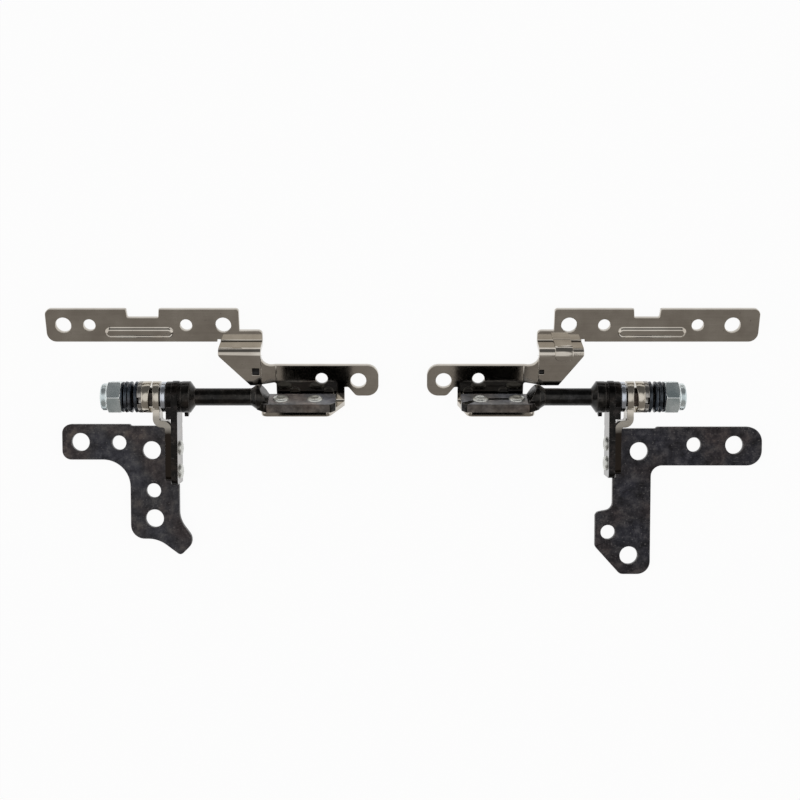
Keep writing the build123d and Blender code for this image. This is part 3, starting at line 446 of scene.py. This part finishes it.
# %% Nylon
nylon_finish, tree, surface, place = new_finish("natural_nylon")
cloud = add(tree, "ShaderNodeTexNoise", {"Vector": place, "Scale": per(0.8), "Detail": 3.0})
tone = add(tree, "ShaderNodeValToRGB", {0: cloud.outputs["Fac"]})
shades(tone, (0.35, "c9c8bf"), (0.65, "dcdbd3"))
tree.links.new(tone.outputs[0], surface.inputs["Base Color"])
surface.inputs["Roughness"].default_value = 0.45
surface.inputs["Subsurface Weight"].default_value = 0.2
surface.inputs["Subsurface Radius"].default_value = (0.4 * MM, 0.4 * MM, 0.35 * MM)
print("made", nylon_finish.name)

# %% [markdown]
# Three cuts in the display brackets are mended here, on copies. The step's shoulder of the CAD model
# reaches a little into the inner screw hole of the long strip, so the hole is drilled again where its
# mount has it. The mark in the web is punched again to its full width. A Boolean takes both tools
# away. It works on many cores at once and mixes up the order of the points, so they are sorted, and
# each run gives the same mesh. The notch in the top edge gets the nearly upright sides that a punch
# leaves, by moving its points.

# %% Mend the cuts in the display brackets
MERGE = 0.2e-6
SAME_SPOT = 0.01e-6
DRILL_SIDES = 48
TOOL_OVER = 0.02
LONG_STRIP_N = (-6.3, -4.7)
PUNCH = {"left": (-22.25, 3.4, 1.0), "right": (20.2, 3.35, 0.65)}
PUNCH_N = (-1.97, -1.0)
NOTCH_X = {"left": (-41.65, -36.75), "right": (34.0, 38.0)}
NOTCH_U = (10.5, 11.89)
STRIP_TOP_U = 11.9
NOTCH_LEAN = 0.57


def strip_place(co):
    """Place of a point along, up and out of the display strips, in mm."""
    at = co - AXIS
    return co.x / MM, at.dot(STRIP_UP) / MM, at.dot(STRIP_OUT) / MM


def cutter(outline, span):
    """A solid to cut with: an outline on the strips, drawn out over a span."""
    work = bmesh.new()
    low = AXIS + STRIP_OUT * (span[0] * MM)
    ring = [work.verts.new(low + Vector((x * MM, 0, 0)) + STRIP_UP * (u * MM)) for x, u in outline]
    grown = bmesh.ops.extrude_face_region(work, geom=[work.faces.new(ring)])
    far = [v for v in grown["geom"] if isinstance(v, bmesh.types.BMVert)]
    bmesh.ops.translate(work, verts=far, vec=STRIP_OUT * ((span[1] - span[0]) * MM))
    bmesh.ops.recalc_face_normals(work, faces=work.faces)
    mesh = bpy.data.meshes.new("cutter")
    work.to_mesh(mesh)
    work.free()
    tool = bpy.data.objects.new("cutter", mesh)
    bpy.context.collection.objects.link(tool)
    return tool


def inner_hole(hand):
    """Middle and radius in mm of the inner screw hole to drill, from the record's mount."""
    mounts = {mount["name"]: mount for mount in frame["record"]["mounts"]}
    mount = mounts[f"{hand}_lid_long_screws"]
    x, u, _ = strip_place(Vector(mount["pos_m"]))
    inward = 1 if hand == "left" else -1
    return x + inward * mount["dims"]["pcd_mm"] / 2, u, mount["dims"]["hole_r_mm"] + TOOL_OVER


def on_rim(edge, hole):
    """Whether an edge lies on the wall of a drilled hole."""
    x, u, r = hole
    for v in edge.verts:
        at_x, at_u, at_n = strip_place(v.co)
        on_wall = abs(hypot(at_x - x, at_u - u) - r) <= TOOL_OVER
        if not (on_wall and LONG_STRIP_N[0] < at_n < LONG_STRIP_N[1]):
            return False
    return True


def drill(hand):
    """Round tool for the inner screw hole of a long strip."""
    x, u, r = inner_hole(hand)
    turns = [2 * pi * i / DRILL_SIDES for i in range(DRILL_SIDES)]
    return cutter([(x + r * cos(turn), u + r * sin(turn)) for turn in turns], LONG_STRIP_N)


def mark_punch(hand):
    """Square tool for the mark in a web."""
    x, u, width = PUNCH[hand]
    h = width / 2 + TOOL_OVER
    return cutter([(x - h, u - h), (x + h, u - h), (x + h, u + h), (x - h, u + h)], PUNCH_N)


def plain_mesh(obj, name):
    """The finished mesh of an object with its modifiers worked in."""
    graph = bpy.context.evaluated_depsgraph_get()
    mesh = bpy.data.meshes.new_from_object(obj.evaluated_get(graph), depsgraph=graph)
    mesh.name = name
    return mesh


def welded_copy(node):
    """Mesh of a CAD piece with its loose triangles joined at their corners."""
    mesh = frame["nodes"][node].data.copy()
    work = bmesh.new()
    work.from_mesh(mesh)
    bmesh.ops.remove_doubles(work, verts=work.verts, dist=MERGE)
    work.to_mesh(mesh)
    work.free()
    return mesh


def in_order(mesh):
    """The same mesh with its points sorted by place, and its faces by their points."""
    spots = [tuple(round(c / SAME_SPOT) for c in v.co) for v in mesh.vertices]
    order = sorted(range(len(spots)), key=lambda i: spots[i])
    rank = {old: new for new, old in enumerate(order)}
    faces = []
    for face in mesh.polygons:
        ring = [rank[i] for i in face.vertices]
        first = ring.index(min(ring))
        faces.append(ring[first:] + ring[:first])
    done = bpy.data.meshes.new(mesh.name)
    done.from_pydata([mesh.vertices[i].co for i in order], [], sorted(faces))
    return done


def cut_copy(node):
    """Mesh of a display bracket with its screw hole and its mark cut out."""
    hand = node.split("_")[0]
    tools = [drill(hand), mark_punch(hand)]
    blank = bpy.data.objects.new("blank", welded_copy(node))
    bpy.context.collection.objects.link(blank)
    for tool in tools:
        cut = blank.modifiers.new("cut", "BOOLEAN")
        cut.operation = "DIFFERENCE"
        cut.solver = "MANIFOLD"
        cut.object = tool
    mesh = in_order(plain_mesh(blank, node))
    for used in (blank, *tools):
        bpy.data.objects.remove(used)
    print(node, "cut", len(tools), "times:", len(mesh.polygons), "faces")
    return mesh


def straighten_notch(mesh, hand):
    """Moves the slanting sides of the notch apart at the bottom."""
    x0, x1 = NOTCH_X[hand]
    count = 0
    for v in mesh.vertices:
        x, u, n = strip_place(v.co)
        if x0 < x < x1 and NOTCH_U[0] < u < NOTCH_U[1] and LONG_STRIP_N[0] < n < LONG_STRIP_N[1]:
            outward = 1 if x > (x0 + x1) / 2 else -1
            v.co.x += outward * NOTCH_LEAN * (STRIP_TOP_U - u) * MM
            count += 1
    print(hand, "notch:", count, "points moved")


# %% [markdown]
# A press, a lathe and a tumbling drum all leave edges that are slightly round, and that thin
# round edge is what catches the light on a metal part. Each CAD piece is copied, its loose
# triangles are merged and its flat faces joined, and a bevel rounds the sharp edges. The pressed
# rib of the long strip also gets sloping sides. The copy stands for the CAD piece, rides on the
# same body and keeps its place.

# %% Round the edges of the CAD pieces
SHARP = radians(32)
SLIVER = 0.02 * MM
RIB_TOP = -4.976 * MM
RIB_SLOPE = 0.28 * MM
FLAT_AREA = 0.3 * MM * MM
LEVEL = radians(0.2)


def join_flats(mesh):
    """Joins the triangles of a mesh into flat faces."""
    work = bmesh.new()
    work.from_mesh(mesh)
    bmesh.ops.dissolve_degenerate(work, edges=work.edges, dist=SLIVER)
    bmesh.ops.dissolve_limit(work, angle_limit=radians(0.5), verts=work.verts, edges=work.edges)
    work.to_mesh(mesh)
    work.free()


def body_of_node(node):
    """Name of the body that a CAD piece belongs to."""
    for body, nodes in frame["record"]["behaviour"]["bodies"].items():
        if node in nodes:
            return body


def open_edges(mesh):
    """How many edges don't join exactly two faces."""
    work = bmesh.new()
    work.from_mesh(mesh)
    count = sum(1 for edge in work.edges if len(edge.link_faces) != 2)
    work.free()
    return count


def slope_rib(mesh):
    """Draws in the top of the pressed rib, so that its sides slope as a press leaves them."""
    top = [v for v in mesh.vertices if abs((v.co - AXIS).dot(STRIP_OUT) - RIB_TOP) < SLIVER]
    across = [v.co.dot(STRIP_UP) for v in top]
    along = [v.co.x for v in top]
    half = (max(across) - min(across)) / 2
    middle = (max(across) + min(across)) / 2
    for v in top:
        x = min(max(v.co.x, min(along) + half), max(along) - half)
        away = Vector((v.co.x - x, 0, 0)) + STRIP_UP * (v.co.dot(STRIP_UP) - middle)
        v.co = v.co - away * (RIB_SLOPE / half)


def weigh_edges(mesh, ribbed, drilled):
    """Weighs the edges to round: sharp ones by half, a rib's in full, a drilled hole's not at all."""
    work = bmesh.new()
    work.from_mesh(mesh)
    weight = work.edges.layers.float.new("bevel_weight_edge")
    for edge in work.edges:
        if len(edge.link_faces) == 2 and edge.calc_face_angle() > SHARP:
            if drilled and on_rim(edge, drilled):
                continue
            corners = [v.co for face in edge.link_faces for v in face.verts]
            on_rib = any(abs((co - AXIS).dot(STRIP_OUT) - RIB_TOP) < SLIVER for co in corners)
            edge[weight] = 1.0 if ribbed and on_rib else 0.5
    work.to_mesh(mesh)
    work.free()


def flatten(mesh):
    """Makes the large flat faces shade flat up to their rounded edges."""
    work = bmesh.new()
    work.from_mesh(mesh)
    flat = {face.index for face in work.faces if len(face.verts) > 6 and face.calc_area() > FLAT_AREA}
    inner = [edge for edge in work.edges if len(edge.link_faces) == 2]
    for edge in [edge for edge in inner if edge.calc_face_angle() < LEVEL]:
        pair = {face.index for face in edge.link_faces}
        if pair & flat:
            flat |= pair
    work.free()
    normals = [corner.vector.copy() for corner in mesh.corner_normals]
    for i in flat:
        for corner in mesh.polygons[i].loop_indices:
            normals[corner] = mesh.polygons[i].normal.copy()
    mesh.normals_split_custom_set(normals)


def eased(node, name, round_mm, finish, edge_finish=None):
    """A piece with rounded edges that stands for a CAD node."""
    ribbed = "display_bracket" in node
    mesh = cut_copy(node) if ribbed else welded_copy(node)
    join_flats(mesh)
    mesh.materials.clear()
    mesh.materials.append(finish)
    if edge_finish:
        mesh.materials.append(edge_finish)
    for face in mesh.polygons:
        face.material_index = 0
    mesh.shade_smooth()
    if ribbed:
        slope_rib(mesh)
        straighten_notch(mesh, node.split("_")[0])
    weigh_edges(mesh, ribbed, inner_hole(node.split("_")[0]) if ribbed else None)
    rough = bpy.data.objects.new(name, mesh)
    bpy.context.collection.objects.link(rough)
    bevel = rough.modifiers.new("round", "BEVEL")
    bevel.width = 2 * round_mm * MM
    bevel.segments = 2
    bevel.limit_method = "WEIGHT"
    bevel.use_clamp_overlap = False
    bevel.material = 1 if edge_finish else -1
    flat = rough.modifiers.new("flat", "WEIGHTED_NORMAL")
    flat.mode = "FACE_AREA"
    flat.weight = 100
    done = plain_mesh(rough, name)
    rough.modifiers.clear()
    rough.data = done
    flatten(done)
    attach(rough, body_of_node(node))
    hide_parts(node)
    return rough


EASED = {
    "base_bracket": (0.07, plate_finish, plate_edge),
    "cam_bracket": (0.05, leg_finish, None),
    "friction_plate": (0.06, friction_finish, plate_edge),
    "display_bracket": (0.07, nickel_and_painted_reflection, None),
    "shaft": (0.06, shaft_finish, tongue_edge),
    "stop_washer": (0.06, friction_finish, plate_edge),
    "thrust_washer": (0.10, bright_finish, None),
    "turning_cam": (0.08, cam_finish, None),
    "key_washer": (0.06, dark_nickel, None),
    "end_washer": (0.06, spring_finish, None),
    "lock_nut": (0.07, zinc_finish, zinc_edge),
    "nut_insert": (0.05, nylon_finish, None),
}
for hand in HANDS:
    for piece, (round_mm, finish, edge_finish) in EASED.items():
        node = f"{hand}_{piece}"
        finish = dark_plate if node == "right_base_bracket" else finish
        made = eased(node, f"{node}_eased", round_mm, finish, edge_finish)
        print(made.name, len(made.data.polygons), "faces, open edges", open_edges(made.data))

# %% [markdown]
# Some faces of a piece look different from the rest. The flat of the tongue that looks up the
# strips is painted much lighter than the turned shaft, a painted highlight, and its front is a
# lighter grey than the shaft. The inner face of the ear mirrors the white table at a low angle, and
# its lighter colour is a painted reflection on top; the ear's top edge is oily and nearly black. The
# sunk faces of the mark punched into the web are painted near black, a painted shade in the recess.
# Each rule below picks faces by where they lie and which way they look.

# %% Faces with their own finish and painted light
BIG_FACE = 4 * MM * MM
PLATE_TOP = 1.5 * MM
WEB_FRONT = -1.5 * MM
PUNCH_MARGIN = 0.05
PUNCH_SUNK = (-0.5 * MM, -0.03 * MM)
FACING = 0.97
UPWARD = 0.3


def refinish(piece, finish, picks):
    """Gives a finish to the faces that a rule picks."""
    mesh = bpy.data.objects[piece].data
    mesh.materials.append(finish)
    chosen = [face for face in mesh.polygons if picks(face)]
    for face in chosen:
        face.material_index = len(mesh.materials) - 1
    print(piece, len(chosen), "faces of", finish.name)


def in_punch(face, hand):
    """Whether a face lies inside the mark that is punched into a web."""
    x, u, width = PUNCH[hand]
    half = width / 2 + PUNCH_MARGIN
    at = face.center - AXIS
    sunk = PUNCH_SUNK[0] < at.dot(STRIP_OUT) - WEB_FRONT < PUNCH_SUNK[1]
    beside = abs(face.center.x - x * MM) < half * MM
    return sunk and beside and abs(at.dot(STRIP_UP) - u * MM) < half * MM


for hand in HANDS:
    inward = 1 if hand == "left" else -1
    # Painted highlight on the flat of the tongue.
    refinish(f"{hand}_shaft_eased", tongue_painted_highlight,
             lambda face: face.area > BIG_FACE and face.normal.dot(STRIP_UP) > FACING)
    refinish(f"{hand}_shaft_eased", tongue_front,
             lambda face: face.area > BIG_FACE and face.normal.dot(STRIP_OUT) > FACING)
    # Painted reflection on the inner faces of the ear.
    refinish(f"{hand}_base_bracket_eased", ear_painted_reflection,
             lambda face: face.area > BIG_FACE and face.normal.x * inward > FACING)
    refinish(f"{hand}_base_bracket_eased", friction_finish,
             lambda face: face.normal.z > UPWARD and face.center.z > PLATE_TOP)
    # Painted shade in the punched mark.
    refinish(f"{hand}_display_bracket_eased", punch_painted_shade,
             lambda face: in_punch(face, hand))

# %% [markdown]
# Each hinge has four rivets: two hold the cam bracket to the ear, two hold the tongue of the
# shaft to the flange of the display bracket. A rivet starts as a pin, and a tool presses its end
# out into a low flat head with a rounded rim. Because the same rivet comes back eight times, a
# Geometry Nodes tree builds one from a disc that is pushed out and scaled step by step, and puts
# a copy on each point, turned and sized a little differently.

# %% A tree that sets rivets on points
STEPS = (
    ("Tail height", 0.60, 1.25),
    ("Tail height", 0.40, 1.04),
    ("Grip", 0.0, 0.62),
    ("Grip", 1.0, 1.0),
    ("Head height", 0.0, 1.62),
    ("Head height", 0.30, 1.0),
    ("Head height", 0.35, 0.93),
    ("Head height", 0.25, 0.84),
    ("Head height", 0.10, 0.80),
    ("Head height", 0.0, 0.70),
    ("Head height", -0.16, 0.70),
)
START_RATIO = 0.77


def input_of(tree, name, kind, default=None):
    """Adds a named input to a Geometry Nodes tree and returns its identifier."""
    entry = tree.interface.new_socket(name, in_out="INPUT", socket_type=kind)
    if default is not None:
        entry.default_value = default
    return entry.identifier


rivet_tree = bpy.data.node_groups.new("set_rivets", "GeometryNodeTree")
RIVET_KEYS = {"Points": input_of(rivet_tree, "Points", "NodeSocketGeometry")}
for name in ("Head radius", "Head height", "Grip", "Tail height"):
    RIVET_KEYS[name] = input_of(rivet_tree, name, "NodeSocketFloat", 1 * MM)
RIVET_KEYS["Lie"] = input_of(rivet_tree, "Lie", "NodeSocketRotation")
RIVET_KEYS["Seed"] = input_of(rivet_tree, "Seed", "NodeSocketInt", 1)
RIVET_KEYS["Finish"] = input_of(rivet_tree, "Finish", "NodeSocketMaterial")
rivet_tree.interface.new_socket("Geometry", in_out="OUTPUT", socket_type="NodeSocketGeometry")

given = add(rivet_tree, "NodeGroupInput").outputs
start_r = add(rivet_tree, "ShaderNodeMath", {0: given["Head radius"], 1: START_RATIO},
              operation="MULTIPLY")
disc = add(rivet_tree, "GeometryNodeMeshCircle", {"Vertices": 40, "Radius": start_r.outputs[0]},
           fill_type="NGON")
under = add(rivet_tree, "GeometryNodeFlipFaces", {0: disc.outputs[0]})
shape = disc.outputs[0]
top = None
for length, share, ratio in STEPS:
    push = add(rivet_tree, "ShaderNodeMath", {0: given[length], 1: share}, operation="MULTIPLY")
    ins = {"Mesh": shape, "Offset": (0, 0, 1), "Offset Scale": push.outputs[0]}
    if top:
        ins["Selection"] = top
    step = add(rivet_tree, "GeometryNodeExtrudeMesh", ins, mode="FACES")
    top = step.outputs["Top"]
    scaled = add(rivet_tree, "GeometryNodeScaleElements",
                 {"Geometry": step.outputs["Mesh"], "Selection": top, "Scale": ratio}, domain="FACE")
    shape = scaled.outputs[0]
whole = add(rivet_tree, "GeometryNodeJoinGeometry")
rivet_tree.links.new(shape, whole.inputs[0])
rivet_tree.links.new(under.outputs[0], whole.inputs[0])
closed = add(rivet_tree, "GeometryNodeMergeByDistance", {0: whole.outputs[0], "Distance": MERGE})
spin = add(rivet_tree, "FunctionNodeRandomValue",
           {2: 0.0, 3: 2 * pi, "Seed": given["Seed"]}, data_type="FLOAT")
spun = add(rivet_tree, "ShaderNodeCombineXYZ", {"Z": spin.outputs[1]})
size = add(rivet_tree, "FunctionNodeRandomValue",
           {2: 0.95, 3: 1.0, "Seed": given["Seed"]}, data_type="FLOAT")
wide = add(rivet_tree, "ShaderNodeCombineXYZ", {"X": size.outputs[1], "Y": size.outputs[1], "Z": 1.0})
set_down = add(rivet_tree, "GeometryNodeInstanceOnPoints",
               {"Points": given["Points"], "Instance": closed.outputs[0], "Rotation": given["Lie"],
                "Scale": wide.outputs[0]})
turned = add(rivet_tree, "GeometryNodeRotateInstances",
             {0: set_down.outputs[0], "Rotation": spun.outputs[0]})
real = add(rivet_tree, "GeometryNodeRealizeInstances", {0: turned.outputs[0]})
painted = add(rivet_tree, "GeometryNodeSetMaterial", {0: real.outputs[0], "Material": given["Finish"]})
add(rivet_tree, "NodeGroupOutput", {0: painted.outputs[0]})
print("rivet tree with", len(rivet_tree.nodes), "nodes")

# %% [markdown]
# The rivets go where the CAD has them. Each CAD node holds a pair, so its own vertices give the
# two axes: the heads' outer sides are the ends of the box, and the head radius leads inwards from
# there. Ear rivets lie along the hinge axis. Tongue rivets lie along the display strips, with
# their heads on the face of the tongue that looks up the strips.

# %% Set the rivets
EAR_HEAD_R = 1.1 * MM
EAR_HEAD_H = 0.4 * MM
EAR_TAIL_H = 0.15 * MM
TONGUE_HEAD_R = 1.2 * MM
TONGUE_HEAD_H = 0.35 * MM
TONGUE_TAIL_H = 0.3 * MM


def node_span(node, direction):
    """Lowest and highest place of a CAD piece along a direction."""
    places = [v.co.dot(direction) for v in frame["nodes"][node].data.vertices]
    return min(places), max(places)


def rivet_pair(node, name, row, across, axis, head_r, head_h, tail_h, seed):
    """Two rivets on a CAD node's two axes, their heads along axis."""
    low, high = node_span(node, row)
    middle = sum(node_span(node, across)) / 2
    tail_end, head_end = node_span(node, axis)
    base = across * middle + axis * tail_end
    points = [row * place + base for place in (low + head_r, high - head_r)]
    mesh = bpy.data.meshes.new(name)
    mesh.from_pydata(points, [], [])
    piece = bpy.data.objects.new(name, mesh)
    bpy.context.collection.objects.link(piece)
    press = piece.modifiers.new("rivets", "NODES")
    press.node_group = rivet_tree
    sizes = {
        "Head radius": head_r,
        "Head height": head_h,
        "Grip": head_end - tail_end - head_h - tail_h,
        "Tail height": tail_h,
        "Lie": axis.to_track_quat("Z", "Y").to_euler(),
        "Seed": seed,
        "Finish": rivet_finish,
    }
    for key, value in sizes.items():
        press[RIVET_KEYS[key]] = value
    done = plain_mesh(piece, name)
    piece.modifiers.clear()
    piece.data = done
    done.shade_smooth()
    done.set_sharp_from_angle(angle=radians(40))
    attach(piece, body_of_node(node))
    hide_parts(node)
    print(name, len(done.polygons), "faces, open edges", open_edges(done))
    return piece


ALONG_X = Vector((1, 0, 0))
for seed, hand in enumerate(HANDS, start=3):
    inward = ALONG_X if hand == "left" else -ALONG_X
    rivet_pair(f"{hand}_ear_rivets", f"{hand}_ear_rivets_pressed", Vector((0, 1, 0)), Vector((0, 0, 1)),
               inward, EAR_HEAD_R, EAR_HEAD_H, EAR_TAIL_H, seed)
    rivet_pair(f"{hand}_tongue_rivets", f"{hand}_tongue_rivets_pressed", ALONG_X, STRIP_OUT,
               STRIP_UP, TONGUE_HEAD_R, TONGUE_HEAD_H, TONGUE_TAIL_H, seed + 10)

# %% [markdown]
# A disc spring is a flat ring of spring steel pressed into a shallow cone. Swept round a circle,
# its section is a leaning rectangle with soft corners. The tree sweeps one ring, then sets three
# in a row along the shaft, each turned about so that they meet rim to rim and hub to hub.

# %% A tree that stacks disc springs
SPRING_COUNT = 3
SPRING_LEAN = radians(18)
SPRING_THICK = 0.46 * MM
SPRING_SOFT = 0.10 * MM
BORE_R = 1.43 * MM

stack_tree = bpy.data.node_groups.new("stack_springs", "GeometryNodeTree")
STACK_KEYS = {"Start": input_of(stack_tree, "Start", "NodeSocketVector")}
for name in ("Pitch", "Middle radius", "Section width", "Section thickness", "Corner radius", "Lean"):
    STACK_KEYS[name] = input_of(stack_tree, name, "NodeSocketFloat", 1 * MM)
STACK_KEYS["Count"] = input_of(stack_tree, "Count", "NodeSocketInt", SPRING_COUNT)
STACK_KEYS["Finish"] = input_of(stack_tree, "Finish", "NodeSocketMaterial")
stack_tree.interface.new_socket("Geometry", in_out="OUTPUT", socket_type="NodeSocketGeometry")

given = add(stack_tree, "NodeGroupInput").outputs
section = add(stack_tree, "GeometryNodeCurvePrimitiveQuadrilateral",
              {"Width": given["Section width"], "Height": given["Section thickness"]})
soft = add(stack_tree, "GeometryNodeFilletCurve",
           {"Curve": section.outputs[0], "Radius": given["Corner radius"], "Count": 3}, mode="POLY")
lean = add(stack_tree, "ShaderNodeCombineXYZ", {"Z": given["Lean"]})
leaning = add(stack_tree, "GeometryNodeTransform",
              {"Geometry": soft.outputs[0], "Rotation": lean.outputs[0]})
round_path = add(stack_tree, "GeometryNodeCurvePrimitiveCircle",
                 {"Resolution": 72, "Radius": given["Middle radius"]})
ring = add(stack_tree, "GeometryNodeCurveToMesh",
           {"Curve": round_path.outputs[0], "Profile Curve": leaning.outputs[0]})
facing = add(stack_tree, "GeometryNodeTransform",
             {"Geometry": ring.outputs[0], "Rotation": (0, pi / 2, 0)})
pitch = add(stack_tree, "ShaderNodeCombineXYZ", {"X": given["Pitch"]})
row = add(stack_tree, "GeometryNodeMeshLine",
          {"Count": given["Count"], "Start Location": given["Start"], "Offset": pitch.outputs[0]})
index = add(stack_tree, "GeometryNodeInputIndex")
odd = add(stack_tree, "ShaderNodeMath", {0: index.outputs[0], 1: 2.0}, operation="MODULO")
about = add(stack_tree, "ShaderNodeMath", {0: odd.outputs[0], 1: pi}, operation="MULTIPLY")
turn = add(stack_tree, "ShaderNodeCombineXYZ", {"Z": about.outputs[0]})
copies = add(stack_tree, "GeometryNodeInstanceOnPoints",
             {"Points": row.outputs[0], "Instance": facing.outputs[0], "Rotation": turn.outputs[0]})
real = add(stack_tree, "GeometryNodeRealizeInstances", {0: copies.outputs[0]})
painted = add(stack_tree, "GeometryNodeSetMaterial", {0: real.outputs[0], "Material": given["Finish"]})
add(stack_tree, "NodeGroupOutput", {0: painted.outputs[0]})
print("spring tree with", len(stack_tree.nodes), "nodes")

# %% [markdown]
# The stack fills the room that the CAD gives it, so the pitch is a third of that node's length
# and the section is fitted between the shaft and the rim.

# %% Stack the disc springs
for hand in HANDS:
    node = f"{hand}_disc_springs"
    low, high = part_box(node)
    axis_y = (low[1] + high[1]) / 2
    axis_z = (low[2] + high[2]) / 2
    rim_r = (high[2] - low[2]) / 2
    pitch_x = (high[0] - low[0]) / SPRING_COUNT
    side = -1 if hand == "left" else 1
    first = (low[0] if side > 0 else high[0]) + side * pitch_x / 2
    name = f"{hand}_disc_springs_stacked"
    piece = bpy.data.objects.new(name, bpy.data.meshes.new(name))
    bpy.context.collection.objects.link(piece)
    stack = piece.modifiers.new("springs", "NODES")
    stack.node_group = stack_tree
    sizes = {
        "Start": (first, axis_y, axis_z),
        "Pitch": side * pitch_x,
        "Middle radius": (rim_r + BORE_R) / 2,
        "Section width": (rim_r - BORE_R - SPRING_THICK * sin(SPRING_LEAN)) / cos(SPRING_LEAN),
        "Section thickness": SPRING_THICK,
        "Corner radius": SPRING_SOFT,
        "Lean": side * SPRING_LEAN,
        "Count": SPRING_COUNT,
        "Finish": spring_finish,
    }
    for key, value in sizes.items():
        stack[STACK_KEYS[key]] = value
    done = plain_mesh(piece, name)
    piece.modifiers.clear()
    piece.data = done
    done.shade_smooth()
    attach(piece, body_of_node(node))
    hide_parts(node)
    print(name, len(done.polygons), "faces, open edges", open_edges(done))

# %% [markdown]
# Last, the script says that it is done.

# %% Finish
print("scene built")
